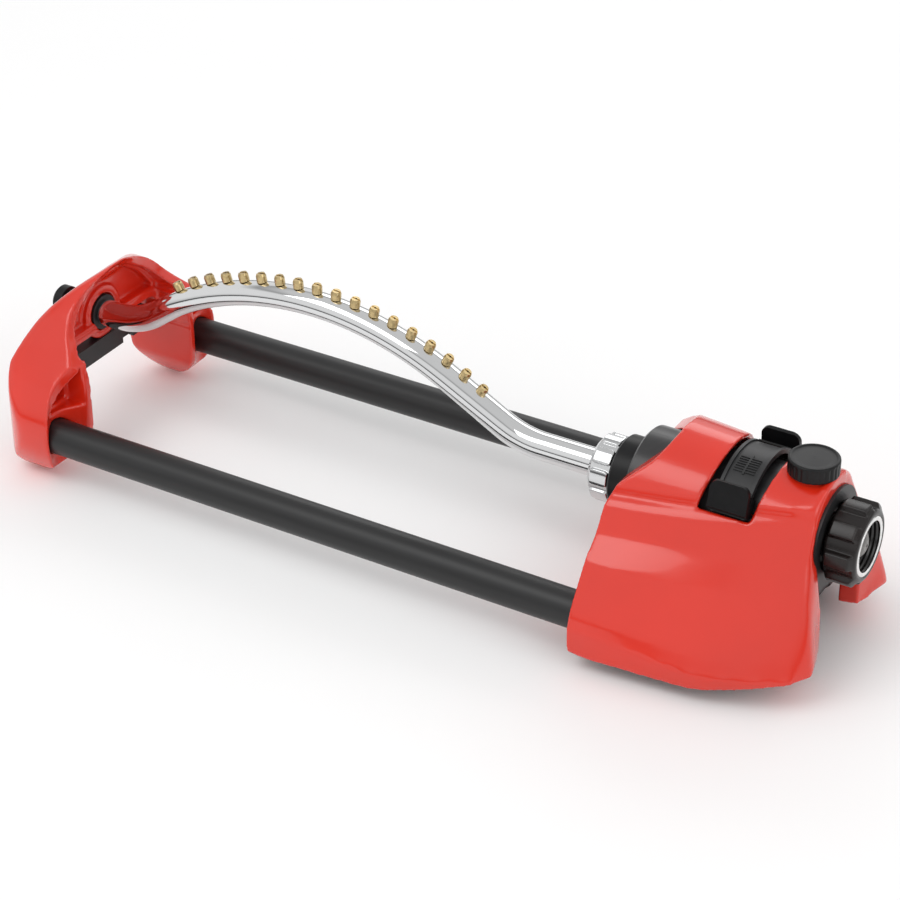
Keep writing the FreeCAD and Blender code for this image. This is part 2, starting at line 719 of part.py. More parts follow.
def gear_set():
    axis = dim("axis_height")
    first_y, first_z = on_ring(dim("gear_centre"), PIN_ANGLES["first"])
    second_y, second_z = on_ring(dim("gear_centre"), PIN_ANGLES["second"])
    output_phase = 0.0
    second_low = mesh_phase(SECOND_PINION, output_phase, OUTPUT_TEETH, PIN_ANGLES["second"])
    second_high = 0.0
    between = math.degrees(math.atan2(first_y - second_y, first_z - second_z))
    first_low = mesh_phase(FIRST_PINION, second_high, SECOND_WHEEL, between)
    first_high = 0.0
    turbine_phase = mesh_phase(TURBINE_PINION, first_high, FIRST_WHEEL,
                               PIN_ANGLES["first"] + 180.0)
    bore = PIN_RADIUS + 0.05
    output = gear_wheel(OUTPUT_TEETH, OUTPUT_RING, 0, axis, output_phase)
    output = output.cut(x_cylinder(NECK_SHAFT_RADIUS, 130, 20))
    second = gear_wheel(SECOND_PINION, SECOND_PINION_RING, second_y, second_z, second_low)
    second = second.fuse(gear_wheel(SECOND_WHEEL, SECOND_WHEEL_RING, second_y, second_z,
                                    second_high))
    second = second.cut(x_cylinder(bore, 120, 60, second_y, second_z))
    first = gear_wheel(FIRST_PINION, FIRST_PINION_RING, first_y, first_z, first_low)
    first = first.fuse(gear_wheel(FIRST_WHEEL, FIRST_WHEEL_RING, first_y, first_z, first_high))
    first = first.cut(x_cylinder(bore, 120, 60, first_y, first_z))
    pinion = gear_wheel(TURBINE_PINION, TURBINE_RING, 0, axis, turbine_phase)
    return output, second.removeSplitter(), first.removeSplitter(), pinion


BLADE_COUNT = 12
BLADE_SIZE = (7.5, 0.9, 16.5)
BLADE_PITCH = 28.0
BLADE_X = 161.0
HUB_RADIUS = 4.0


def turbine(pinion):
    """Shaft with its pinion and a hub carrying slanted blades."""
    chord, thickness, height = BLADE_SIZE
    shape = x_cylinder(SHAFT_RADIUS, 146.5, 31.0).fuse(pinion)
    shape = shape.fuse(x_cylinder(HUB_RADIUS, BLADE_X - 4.5, 9.0))
    for i in range(BLADE_COUNT):
        blade = Part.makeBox(chord, thickness, height,
                             V(-chord / 2, -thickness / 2, HUB_RADIUS - 1))
        blade.rotate(V(0, 0, 0), V(0, 0, 1), BLADE_PITCH)
        blade.rotate(V(0, 0, 0), V(1, 0, 0), 360.0 / BLADE_COUNT * i)
        blade.translate(V(BLADE_X, 0, dim("axis_height")))
        shape = shape.fuse(blade)
    return shape.removeSplitter()


OUTPUT_GEAR, SECOND_GEAR, FIRST_GEAR, PINION = gear_set()
piece(feature("output_gear_shape", OUTPUT_GEAR), "output_gear")
piece(feature("second_gear_shape", SECOND_GEAR), "second_gear")
piece(feature("first_gear_shape", FIRST_GEAR), "first_gear")
piece(feature("turbine_shape", turbine(PINION)), "turbine")


# ============================================================== range control

TRIP_START = 166.3
TRIP_WIDTH = 6.4
JET_COUNT = 6


def trip_ring():
    """Reversing ring between case and cap: jets inside, striker arm on top."""
    radius = dim("drum_radius")
    shape = x_cylinder(radius, TRIP_START, TRIP_WIDTH)
    shape = shape.cut(x_cylinder(radius - 2.4, TRIP_START - 1, TRIP_WIDTH + 2))
    shape = shape.fuse(x_cylinder(radius - 2.0, TRIP_START + 2, 2.4))
    shape = shape.cut(x_cylinder(1.8, TRIP_START - 1, 12))
    for i in range(JET_COUNT):
        y, z = on_ring(14.0, 30 + i * 360.0 / JET_COUNT)
        shape = shape.cut(x_cylinder(1.6, TRIP_START - 1, 12, y, z))
    arm = sector(radius - 0.5, 29.0, -4.0, 4.0, TRIP_START, TRIP_WIDTH)
    return shape.fuse(arm).removeSplitter()


RIB_COUNT = 7
RIB_STEP = 2.6


def scale_plate():
    """Curved plate under the tabs, with raised rims and ribs on the front half."""
    start, width = dim("scale_x") - dim("scale_width") / 2, dim("scale_width")
    top = dim("scale_radius")
    shape = sector(top - 2.6, top - 0.9, -64.5, 64.5, start, width)
    for x in (start, start + width - 1.6):
        shape = shape.fuse(sector(top - 2.6, top, -64.5, 64.5, x, 1.6))
    for i in range(RIB_COUNT):
        angle = -10 - RIB_STEP * i
        shape = shape.fuse(sector(top - 1.5, top - 0.35, angle - 0.45, angle + 0.45,
                                  start + 3.4, width - 6.8))
    shape = shape.fuse(sector(top - 1.5, top - 0.35, -28.0, -6.0, dim("scale_x") - 0.5, 1.0))
    return shape.removeSplitter()


TAB_INNER = 46.0
TAB_OUTER = 63.5
# cross-section of the upright thumb paddle: (angle from straight up, radius)
PADDLE = [(41.5, 40.2), (43.1, 41.9), (61.4, 36.0), (62.8, 33.9), (54.8, 33.9)]
PADDLE_CORNER = 4.5


def range_tab(side):
    """A slider that wraps the scale plate, with a raised paddle for the thumb."""
    reach, x = dim("scale_width") / 2 + 0.35, dim("scale_x")
    half, top = reach + 0.85, dim("scale_radius") + 0.3
    low, high = sorted((side * TAB_INNER, side * TAB_OUTER))
    ring = sector(dim("scale_radius") - 4.6, top + 0.9, low, high, x - half, 2 * half)
    ring = ring.cut(sector(top - 3.2, top, low - 1, high + 1, x - reach, 2 * reach))
    profile = [on_ring(radius, side * angle) for angle, radius in PADDLE]
    wedge = closed_face(profile, lambda y, z: V(x - half, y, z)).extrude(V(2 * half, 0, 0))
    y, z = profile[1]
    for end in (-1, 1):
        edge = x + end * half
        square = Part.makeBox(PADDLE_CORNER, 30, PADDLE_CORNER + 2,
                              V(min(edge, edge - end * PADDLE_CORNER), y - 15,
                                z - PADDLE_CORNER))
        disc = Part.makeCylinder(PADDLE_CORNER, 40,
                                 V(edge - end * PADDLE_CORNER, y - 20, z - PADDLE_CORNER),
                                 V(0, 1, 0))
        wedge = wedge.cut(square.cut(disc))
    return ring.fuse(wedge).removeSplitter()


piece(feature("front_range_tab_shape", range_tab(-1)), "front_range_tab")
piece(feature("rear_range_tab_shape", range_tab(1)), "rear_range_tab")
piece(feature("scale_plate_shape", scale_plate()), "scale_plate")
piece(feature("trip_ring_shape", trip_ring()), "trip_ring")


# ============================================================ inlet and valve

FLANGE_START = 207.8
FLANGE_FACE = 211.6
FLANGE_BACK_RADIUS = 24.6
FLANGE_BOSS_RADIUS = 22.2
FLANGE_PLATE_RADIUS = 25.0
PLATE_START = 217.05
PLATE_FINISH = 218.6
FLANGE_DROP = 23.5
VALVE_SHOULDER = 207.4
VALVE_FINISH = 216.0
PLUG_RADIUS = 5.0
SPINDLE_RADIUS = 3.0
TOWER_RADIUS = 6.3
TOWER_TOP = 27.0
VALVE_RADIUS = 11.0
VALVE_BORE = 4.2
STEM_RADIUS = 7.5


def arched(radius, start, finish):
    """A plate across X, round at the top, straight-sided down to a flat foot."""
    lower = Part.makeBox(finish - start, 2 * radius, FLANGE_DROP,
                         V(start, -radius, dim("axis_height") - FLANGE_DROP))
    return x_cylinder(radius, start, finish - start).fuse(lower)


def inlet_flange():
    """Black hose-end flange: a seat inside, a boss in the opening, a plate outside."""
    shape = x_cylinder(FLANGE_BACK_RADIUS, FLANGE_START, FLANGE_FACE - FLANGE_START)
    shape = shape.fuse(arched(FLANGE_BOSS_RADIUS, FLANGE_START, PLATE_START))
    shape = shape.fuse(arched(FLANGE_PLATE_RADIUS, PLATE_START, PLATE_FINISH))
    shape = shape.cut(x_cylinder(17.5, FLANGE_FACE + 1.6, 10))
    shape = shape.fuse(x_cylinder(13.5, FLANGE_FACE, 3.0))
    shape = shape.cut(x_cylinder(VALVE_RADIUS, FLANGE_START - 1, 20))
    tower = Part.makeCylinder(TOWER_RADIUS, 60, V(dim("knob_x"), 0, dim("axis_height")))
    return shape.cut(tower).removeSplitter()


def valve_body():
    """Inlet tube with a cross bore for the plug and a tower for the spindle."""
    axis, x, start = dim("axis_height"), dim("knob_x"), dim("drum_finish")
    shape = x_cylinder(13.0, start, VALVE_SHOULDER - start)
    shape = shape.fuse(x_cylinder(VALVE_RADIUS, start, VALVE_FINISH - start))
    shape = shape.fuse(Part.makeCylinder(TOWER_RADIUS, TOWER_TOP + 10, V(x, 0, axis - 10)))
    shape = shape.cut(Part.makeCylinder(PLUG_RADIUS + 0.05, TOWER_TOP + 10,
                                        V(x, 0, axis - 8.2)))
    shape = shape.cut(x_cylinder(VALVE_BORE, start - 1, 40))
    return shape.cut(x_cylinder(STEM_RADIUS, VALVE_FINISH - 4, 10)).removeSplitter()


piece(feature("inlet_flange_shape", inlet_flange()), "inlet_flange")
piece(feature("valve_body_shape", valve_body()), "valve_body")

valve_spindle = turned("valve_spindle_body", [
    ("-8", "0"), ("-8", "5"), ("8", "5"), ("8", "3"), ("38", "3"), ("38", "0")], axis="z")
spindle_port = valve_spindle.newObject("Sketcher::SketchObject", "spindle_port_outline")
spindle_port.AttachmentSupport = (origin_plane(valve_spindle, "YZ_Plane"), [""])
spindle_port.MapMode = "FlatFace"
spindle_port.addGeometry(Part.Circle(V(0, 0, 0), V(0, 0, 1), 3.6))
spindle_port.addConstraint(Sketcher.Constraint("Coincident", 0, 3, -1, 1))
spindle_port.addConstraint(Sketcher.Constraint("Radius", 0, 3.6))
port_pocket = valve_spindle.newObject("PartDesign::Pocket", "spindle_port")
port_pocket.Profile = spindle_port
port_pocket.Type = 1
port_pocket.Midplane = True
valve_spindle.Tip = port_pocket
place(valve_spindle, "knob_x", "0", "axis_height")
piece(valve_spindle, "valve_spindle")

spindle_seal = turned("spindle_seal_body", [
    ("0", "3.05"), ("2.6", "3.05"), ("2.6", "5.05"), ("0", "5.05")], axis="z")
place(spindle_seal, "knob_x", "0", "axis_height + 20")
piece(spindle_seal, "spindle_seal")

KNOB_FACETS = 36


def flow_knob():
    """Flat round knob with a finely faceted edge and a shallow dished top."""
    radius, height = dim("knob_radius"), dim("knob_height")
    base = V(dim("knob_x"), 0, dim("knob_top") - height)

    def ring(ring_radius, z):
        return Part.makePolygon([
            base + V(ring_radius * math.cos(2 * math.pi * i / KNOB_FACETS),
                     ring_radius * math.sin(2 * math.pi * i / KNOB_FACETS), z)
            for i in range(KNOB_FACETS + 1)])

    shape = Part.makeLoft([ring(radius, 0), ring(radius, height - 0.9)], True, True)
    shape = shape.fuse(Part.makeLoft([ring(radius, height - 0.9), ring(radius - 0.9, height)],
                                     True, True))
    shape = shape.cut(Part.makeCylinder(radius - 1.8, 1, base + V(0, 0, height - 0.5)))
    shape = shape.cut(Part.makeCylinder(radius - 2.0, height - 3.6, base))
    hub_drop = 2.6
    shape = shape.fuse(Part.makeCylinder(5.6, height - 3 + hub_drop, base - V(0, 0, hub_drop)))
    return shape.cut(Part.makeCylinder(SPINDLE_RADIUS, 38 - (base.z - dim("axis_height")) + 10,
                                       base - V(0, 0, 10))).removeSplitter()


piece(feature("flow_knob_shape", flow_knob()), "flow_knob")

inlet_stem = turned("inlet_stem_body", [
    ("0", "5.6"), ("13", "5.6"), ("13", "13.2"), ("10.4", "13.2"), ("10.4", "7.5"), ("0", "7.5")])
place(inlet_stem, "coupling_face - 24", "0", "axis_height")
piece(inlet_stem, "inlet_stem")

coupling_grip = turned("coupling_grip_body", [
    ("0", "8"), ("3", "8"), ("3", "14.8"), ("coupling_length", "14.8"),
    ("coupling_length", "coupling_radius - 1"), ("coupling_length - 1", "coupling_radius"),
    ("1.5", "coupling_radius"), ("0", "coupling_radius - 1.5")])
grip_pattern(coupling_grip, "coupling_lobe", [
    ("coupling_radius - 1.2", "-4.6"), ("coupling_radius + 1.6", "-3.4"),
    ("coupling_radius + 2.6", "-1.6"), ("coupling_radius + 2.6", "1.6"),
    ("coupling_radius + 1.6", "3.4"), ("coupling_radius - 1.2", "4.6")],
    14.0, 1.4, int(dim("coupling_lobe_count")))
place(coupling_grip, "coupling_face - coupling_length", "0", "axis_height")
piece(coupling_grip, "coupling_grip")

coupling_insert = turned("coupling_insert_body", [
    ("3", "13.8"), ("9.2", "13.8"), ("9.2", "thread_radius"), ("coupling_length", "thread_radius"),
    ("coupling_length", "14.8"), ("3", "14.8")])
place(coupling_insert, "coupling_face - coupling_length", "0", "axis_height")
piece(coupling_insert, "coupling_insert")

hose_washer = turned("hose_washer_body", [
    ("0", "7.2"), ("2.4", "7.2"), ("2.4", "13.8"), ("0", "13.8")])
place(hose_washer, "coupling_face - 10.8", "0", "axis_height")
piece(hose_washer, "hose_washer")


def filter_screen():
    """Cupped screen with a flat rim that lies on the washer."""
    rim_x, axis = dim("coupling_face") - 8.4, dim("axis_height")
    outer, reach = 7.8, 3.8
    centre = V(rim_x + reach, 0, axis)
    ball = Part.makeSphere(outer, centre).cut(Part.makeSphere(outer - 0.5, centre))
    cup = ball.common(Part.makeBox(20, 40, 40, V(rim_x - 19.5, -20, axis - 20)))
    rim = x_cylinder(12.2, rim_x, 0.5).cut(x_cylinder(6.6, rim_x - 1, 3))
    return cup.fuse(rim).removeSplitter()


piece(feature("filter_screen_shape", filter_screen()), "filter_screen")


# ======================================================== base cover, screws

COVER_OUTLINE = [(123.0, 70.0), (150.0, 66.5), (180.0, 62.0), (196.0, 57.0), (203.0, 50.0),
                 (203.0, 25.0)]
COVER_BOTTOM = 10.0
RAIL_Y = 46.0
RAIL_WIDTH = 4.0
SCREW_HEAD = 3.4


def base_cover():
    """Plate under the motor with two ground rails and four screw bosses."""
    corners = COVER_OUTLINE + [(x, -y) for x, y in reversed(COVER_OUTLINE)]
    shape = closed_face(corners, lambda x, y: V(x, y, COVER_BOTTOM)).extrude(
        V(0, 0, BASE_SEAT - COVER_BOTTOM))
    for side in (-1, 1):
        rail = Part.makeBox(78, RAIL_WIDTH, COVER_BOTTOM,
                            V(123.5, side * RAIL_Y - RAIL_WIDTH / 2, 0))
        ends = [e for e in rail.Edges if e.BoundBox.ZMax < 0.1 and e.BoundBox.XLength < 0.1]
        shape = shape.fuse(rail.makeChamfer(5.0, ends))
        shape = shape.cut(x_cylinder(dim("runner_radius") + 0.3, 115, 18,
                                     side * dim("runner_offset"), dim("runner_height")))
    for x, y in BASE_SCREW_PLACES:
        shape = shape.cut(Part.makeCylinder(1.7, 30, V(x, y, -5)))
        shape = shape.cut(Part.makeCylinder(SCREW_HEAD + 0.2, 8.6 + 3, V(x, y, -0.4)))
    return shape.removeSplitter()


def pan_screw(length, shank=1.6, head=SCREW_HEAD, head_height=2.0):
    """A cross-recess screw at the origin, its shank pointing along +Z."""
    screw = Part.makeCylinder(shank, length).fuse(
        Part.makeCylinder(head, head_height, V(0, 0, -head_height)))
    for turn in (0, 90):
        slot = Part.makeBox(3.2, 0.8, 1.1, V(-1.6, -0.4, -head_height))
        slot.rotate(V(0, 0, 0), V(0, 0, 1), turn)
        screw = screw.cut(slot)
    return screw


def base_screws():
    shapes = []
    for x, y in BASE_SCREW_PLACES:
        screw = pan_screw(14.0)
        screw.translate(V(x, y, BASE_SEAT - 1.8))
        shapes.append(screw)
    return Part.makeCompound(shapes)


def drum_screws():
    shapes = []
    for angle in LUG_ANGLES:
        y, z = on_ring(dim("drum_radius") + LUG_OFFSET, angle)
        screw = pan_screw(20.0, 1.5, 2.6, 1.6)
        screw.rotate(V(0, 0, 0), V(0, 1, 0), -90)
        screw.translate(V(CAP_START + 8, y, z))
        shapes.append(screw)
    return Part.makeCompound(shapes)


piece(feature("base_cover_shape", base_cover()), "base_cover")
piece(feature("base_screw_set", base_screws()), "base_screws")
piece(feature("drum_screw_set", drum_screws()), "drum_screws")


# ================================================================== writing

def finish_parts():
    doc.recompute()
    if doc.getObject("probe") is not None:
        doc.removeObject("probe")
    for obj in doc.Objects:
        if "Invalid" in obj.State or "Error" in obj.State:
            raise RuntimeError("object failed: " + obj.Name)
    for obj in PIECES:
        if obj.Shape.isNull() or not obj.Shape.isValid() or not obj.Shape.Solids:
            raise RuntimeError("bad shape: " + obj.Label)
    os.makedirs("parts", exist_ok=True)
    for obj in PIECES:
        obj.Shape.exportStep("parts/" + obj.Label + ".step")
        box = obj.Shape.BoundBox
        print("%-16s solids %2d  x %7.1f %7.1f  y %6.1f %6.1f  z %6.1f %6.1f" % (
            obj.Label, len(obj.Shape.Solids), box.XMin, box.XMax, box.YMin, box.YMax,
            box.ZMin, box.ZMax))


finish_parts()
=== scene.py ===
import math

import bmesh
import bpy
import numpy as np
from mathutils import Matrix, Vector


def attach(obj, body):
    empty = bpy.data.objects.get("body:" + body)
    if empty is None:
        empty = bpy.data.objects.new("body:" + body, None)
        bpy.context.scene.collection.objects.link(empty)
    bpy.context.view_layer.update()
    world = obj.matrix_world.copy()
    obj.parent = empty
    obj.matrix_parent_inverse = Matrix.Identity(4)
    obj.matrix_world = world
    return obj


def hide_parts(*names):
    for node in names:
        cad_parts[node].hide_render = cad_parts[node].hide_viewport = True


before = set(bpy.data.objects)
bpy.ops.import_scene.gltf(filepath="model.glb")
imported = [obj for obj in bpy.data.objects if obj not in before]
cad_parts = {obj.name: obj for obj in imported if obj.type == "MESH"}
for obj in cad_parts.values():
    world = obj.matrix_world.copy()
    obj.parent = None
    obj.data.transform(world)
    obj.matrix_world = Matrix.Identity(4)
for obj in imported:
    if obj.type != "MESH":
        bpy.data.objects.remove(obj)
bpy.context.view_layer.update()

# Shapes are given in millimetres, lights and the camera in metres.
MM = 0.001
AXIS_Z = 65.3  # height of the swing axis
RUNNER_Y, RUNNER_Z, RUNNER_R = 63.8, 25.3, 9.5
RUNNER_FIT = 0.15  # clearance round a runner in its socket
KNOB_X = 205.0
SIDES = (-1, 1)
# Which of (across, up, pushed) becomes x, y and z when an outline is pushed into a prism.
SIDE_VIEW, FRONT_VIEW, PLAN_VIEW = (0, 2, 1), (2, 0, 1), (0, 1, 2)
scene = bpy.context.scene


# ------------------------------------------------------------------ mesh tools

def shade_smooth(mesh):
    mesh.polygons.foreach_set("use_smooth", [True] * len(mesh.polygons))


def mesh_object(name, points, faces):
    """A mesh from points in millimetres, with doubled points joined."""
    mesh = bpy.data.meshes.new(name)
    mesh.from_pydata([tuple(float(c) * MM for c in p) for p in points], [], faces)
    mesh.update()
    obj = bpy.data.objects.new(name, mesh)
    scene.collection.objects.link(obj)
    clean = bmesh.new()
    clean.from_mesh(mesh)
    bmesh.ops.remove_doubles(clean, verts=clean.verts, dist=1e-7)
    bmesh.ops.recalc_face_normals(clean, faces=clean.faces)
    clean.to_mesh(mesh)
    clean.free()
    shade_smooth(mesh)
    return obj


def loft(name, rings, closed_ends=True):
    """Closed loops of equal length joined one to the next."""
    count = len(rings[0])
    points = [p for ring in rings for p in ring]
    faces = [(r * count + i, r * count + (i + 1) % count,
              (r + 1) * count + (i + 1) % count, (r + 1) * count + i)
             for r in range(len(rings) - 1) for i in range(count)]
    if closed_ends:
        faces.append(tuple(range(count))[::-1])
        faces.append(tuple((len(rings) - 1) * count + i for i in range(count)))
    return mesh_object(name, points, faces)


def prism(name, outline, start, finish, view):
    """A flat outline pushed from start to finish, square to its view."""
    rings = []
    for depth in (start, finish):
        points = [(u, v, depth) for u, v in outline]
        rings.append([tuple(point[k] for k in view) for point in points])
    return loft(name, rings)


def lathe(name, profile, origin, axis="x", segments=96, radius_at=None):
    """A profile of (along, radius) turned round an axis through origin, closed on itself."""
    rings = []
    for i in range(segments):
        angle = 2 * math.pi * i / segments
        ring = []
        for along, radius in profile:
            r = radius if radius_at is None else radius_at(along, radius, angle)
            a, b = r * math.sin(angle), r * math.cos(angle)
            local = (along, a, b) if axis == "x" else (b, a, along)
            ring.append(tuple(o + c for o, c in zip(origin, local)))
        rings.append(ring)
    return loft(name, rings + rings[:1], closed_ends=False)


def circle(radius, centre, segments):
    angles = [2 * math.pi * i / segments for i in range(segments)]
    return [(centre[0] + radius * math.cos(a), centre[1] + radius * math.sin(a)) for a in angles]


def rod(name, radius, start, finish, y, z):
    """A solid bar along X."""
    return prism(name, circle(radius, (y, z), 64), start, finish, FRONT_VIEW)


def post(name, radius, low, high, x, y):
    """A solid bar along Z."""
    return prism(name, circle(radius, (x, y), 48), low, high, PLAN_VIEW)


def block(name, low, high):
    """A box between two opposite corners."""
    (x0, y0, z0), (x1, y1, z1) = low, high
    return prism(name, [(x0, y0), (x1, y0), (x1, y1), (x0, y1)], z0, z1, PLAN_VIEW)


def apply_modifier(obj, kind, **settings):
    modifier = obj.modifiers.new(kind.lower(), kind)
    for key, value in settings.items():
        setattr(modifier, key, value)
    bpy.context.view_layer.objects.active = obj
    obj.select_set(True)
    bpy.ops.object.modifier_apply(modifier=modifier.name)
    obj.select_set(False)


def combine(base, tools, operation="DIFFERENCE", solver="MANIFOLD"):
    """Cuts each tool from the base, or adds it, and removes the tool."""
    for tool in tools:
        apply_modifier(base, "BOOLEAN", object=tool, operation=operation, solver=solver)
        bpy.data.objects.remove(tool)
    return base


def melt(obj, voxel, passes, keep=1.0):
    """Turns a form with sharp corners into one moulded skin with small fillets."""
    apply_modifier(obj, "REMESH", mode="VOXEL", voxel_size=voxel * MM, use_smooth_shade=True)
    apply_modifier(obj, "SMOOTH", factor=0.5, iterations=passes)
    if keep < 1.0:
        thin_out(obj, keep)
    shade_smooth(obj.data)
    return obj


def thin_out(obj, keep):
    """Keeps a share of the faces, where the surface needs them most."""
    apply_modifier(obj, "DECIMATE", ratio=keep)
    shade_smooth(obj.data)


def soften_edge(obj, start, finish, reach, passes):
    """Rounds off a sharp edge that runs from start to finish, within reach of it."""
    start, finish = np.array(start), np.array(finish)
    run = finish - start
    places = np.empty(len(obj.data.vertices) * 3)
    obj.data.vertices.foreach_get("co", places)
    places = places.reshape(-1, 3) / MM - start
    share = np.clip(places @ run / (run @ run), 0, 1)
    gap = np.linalg.norm(places - share[:, None] * run, axis=1)
    group = obj.vertex_groups.new(name="edge")
    for index in np.nonzero(gap < reach)[0]:
        group.add([int(index)], float(1 - gap[index] / reach) ** 0.5, "REPLACE")
    apply_modifier(obj, "SMOOTH", factor=0.5, iterations=passes, vertex_group="edge")
    obj.vertex_groups.clear()


def smooth_line(points, count):
    """Catmull-Rom line through the points, at evenly spread parameters."""
    points = np.array(points, float)
    ends = np.vstack([2 * points[0] - points[1], points, 2 * points[-1] - points[-2]])
    spans = len(points) - 1
    line = []
    for t in np.linspace(0, spans, count):
        k = min(int(t), spans - 1)
        u = t - k
        p0, p1, p2, p3 = ends[k:k + 4]
        line.append(0.5 * (2 * p1 + (p2 - p0) * u + (2 * p0 - 5 * p1 + 4 * p2 - p3) * u ** 2
                           + (3 * p1 - p0 - 3 * p2 + p3) * u ** 3))
    return [tuple(p) for p in line]


def along(line, x):
    """Reading at x of a smooth line whose first column is x."""
    return [float(np.interp(x, line[:, 0], line[:, k])) for k in range(1, line.shape[1])]


def soft_step(value, width):
    """0 below zero, 1 above width, with a smooth change between."""
    value = min(max(value / width, 0.0), 1.0)
    return value * value * (3 - 2 * value)


# ---------------------------------------------------------------- motor housing

# foot line (x, y, z), shoulder line (x, y, z) and crown line (x, z)
FOOT = [(100, 76.4, 8.9), (119, 75.6, 8.4), (133, 75.2, 7.9), (156, 72.8, 7.4), (181, 70.4, 7.4),
        (195, 66.5, 9.3), (206.5, 62.6, 11.6), (216, 57.6, 13.2), (224, 53, 14.6),
        (231.5, 45.5, 15.4), (244, 34, 16.5)]
SHOULDER = [(100, 38, 80.0), (123, 35, 81.3), (162, 30, 84.3), (217, 20, 89.3), (244, 15, 91.8)]
CROWN = [(100, 102.8), (120, 102.4), (139, 101.5), (165, 99.8), (190, 97.4), (211, 95.8),
         (213.6, 97.1), (217, 97.4), (244, 97.4)]
# flank at the tube end: share of the height, share of the width
FLARE = [(0.0, 1.013), (0.12, 0.965), (0.20, 0.905), (0.342, 0.775), (0.530, 0.597),
         (0.719, 0.325), (0.95, 0.117), (1.0, 0.0)]
FLARE_FULL, FLARE_GONE = 132, 231  # the flank's flare fades out between these x
KNEE_SHARE, KNEE_SWELL = 0.2, 0.013  # the upright band above the foot, and its swell
STRIP = 4.2  # height of the steep band under the shoulder
HOUSING_WALL = 2.7
TUBE_FACE = [(60, -20), (118.5, -20), (118.5, 73), (119.4, 76.5), (121.4, 81), (126, 85.3),
             (129.4, 88.3), (133, 91.3), (135.7, 94.3), (137.6, 97.3), (139.2, 100.5),
             (142, 130), (60, 130)]
SCREW_PLACES = [(140, -52), (140, 52), (190, -48), (190, 48)]
FOOT_LINE, SHOULDER_LINE, CROWN_LINE = (np.array(smooth_line(table, 240))
                                        for table in (FOOT, SHOULDER, CROWN))


def flank_width(height, share):
    """Share of the flank's width at a share of its height; share is 1 at the hose end."""
    knee = KNEE_SHARE * (1 - share) ** 0.8 + 0.001
    if height <= knee:
        return 1 + KNEE_SWELL * height / knee
    above = (height - knee) / (1 - knee)
    heights, widths = zip(*FLARE)
    return (1 - share) * float(np.interp(above, heights, widths)) + share * (1 - above)


def crown_arc(side_y, side_z, crown, steps=15):
    """The rounded top, from the shoulder to the middle plane."""
    drop = crown - side_z
    radius = (side_y ** 2 + drop ** 2) / (2 * drop)
    widths = [side_y * (1 - i / steps) for i in range(1, steps + 1)]
    return [(y, crown - radius + math.sqrt(radius ** 2 - y ** 2)) for y in widths]


def housing_half(x, inset):
    """Half section of the housing at x, from the foot up to the crown, as (y, z)."""
    foot_y, foot_z = along(FOOT_LINE, x)
    side_y, side_z = along(SHOULDER_LINE, x)
    crown = along(CROWN_LINE, x)[0] - inset
    # the slopes turn a wall's thickness into slightly different steps at foot and shoulder
    foot_y, side_y = foot_y - 1.05 * inset, side_y - 0.9 * inset
    foot_z, side_z = foot_z - (5 if inset else 0), side_z - 0.8 * inset
    top_y, top_z = side_y + 1.2, side_z - STRIP
    share = min(max((x - FLARE_FULL) / (FLARE_GONE - FLARE_FULL), 0), 1)
    half = []
    for v in np.linspace(0, 1, 36):
        width = flank_width(v, share)
        half.append((top_y + (foot_y - top_y) * width, foot_z + (top_z - foot_z) * v))
    half += [(side_y + 0.8, side_z - STRIP * 0.5), (side_y, side_z)]
    return half + crown_arc(side_y, side_z, crown)


def housing_form(name, inset=0.0):
    """The housing's outer form, or its inner form when inset by the wall."""
    rings = []
    for x in np.linspace(102, 242, 71):
        half = housing_half(x, inset)
        ring = half + [(-y, z) for y, z in reversed(half[:-1])]
        rings.append([(x, y, z) for y, z in ring])
    form = loft(name, rings)
    face = [(x + inset, z) for x, z in TUBE_FACE]
    return combine(form, [prism("front_cut", face, -120, 120, SIDE_VIEW), end_cut(inset)])


END_FACE = [
    # height, hose end at the opening, corner's x, corner's |y|
    (130, 217.0, 217.0, 20.0), (89.3, 217.3, 217.3, 20.5), (66, 220.4, 219.6, 28.0),
    (45, 223.2, 224.4, 35.0), (28, 224.2, 228.4, 41.0), (14, 224.4, 231.8, 45.0),
    (-20, 224.6, 236.0, 50.0)]


OPENING_Y = 24  # half width of the flat part round the hose opening
CUT_X, CUT_Y = 320, 110  # well outside the housing


def end_cut(inset):
    """What is cut away beyond the hose end: flat on top, flaring out to the feet."""
    rings = []
    for z, inner_x, corner_x, corner_y in END_FACE:
        slope = max(corner_x - inner_x, 0) / (corner_y - OPENING_Y)
        far_x = corner_x + slope * (CUT_Y - corner_y)
        half = [(inner_x, 0), (inner_x, OPENING_Y), (corner_x, corner_y), (far_x, CUT_Y)]
        line = [(x, -y) for x, y in reversed(half)] + half[1:]
        line += [(CUT_X, CUT_Y), (CUT_X, -CUT_Y)]
        rings.append([(x - inset, y, z) for x, y in line])
    return loft("end_cut", rings)


def arc_prism(name, inner, outer, reach, start, finish):
    """A sector of a ring round the swing axis, reach degrees each side of straight up."""
    angles = [math.radians(a) for a in np.linspace(-reach, reach, 61)]
    outline = [(outer * math.sin(a), AXIS_Z + outer * math.cos(a)) for a in angles]
    outline += [(inner * math.sin(a), AXIS_Z + inner * math.cos(a)) for a in reversed(angles)]
    return prism(name, outline, start, finish, FRONT_VIEW)


def tab_channel():
    """The raked slot over the barrel in which the two range tabs slide."""
    side = [(159.3, 70), (167.4, 110), (193.6, 110), (185.6, 70)]
    slot = prism("channel", side, -60, 60, SIDE_VIEW)
    return combine(slot, [arc_prism("channel_reach", 29.0, 70, 66, 150, 210)], "INTERSECT")


def housing_hollow():
    """The space inside, closed at the tube end and in front of the hose opening."""
    limit = block("inner_limit", (121.1, -90, -30), (214.0, 90, 130))
    return combine(housing_form("housing_inner", HOUSING_WALL), [limit], "INTERSECT")


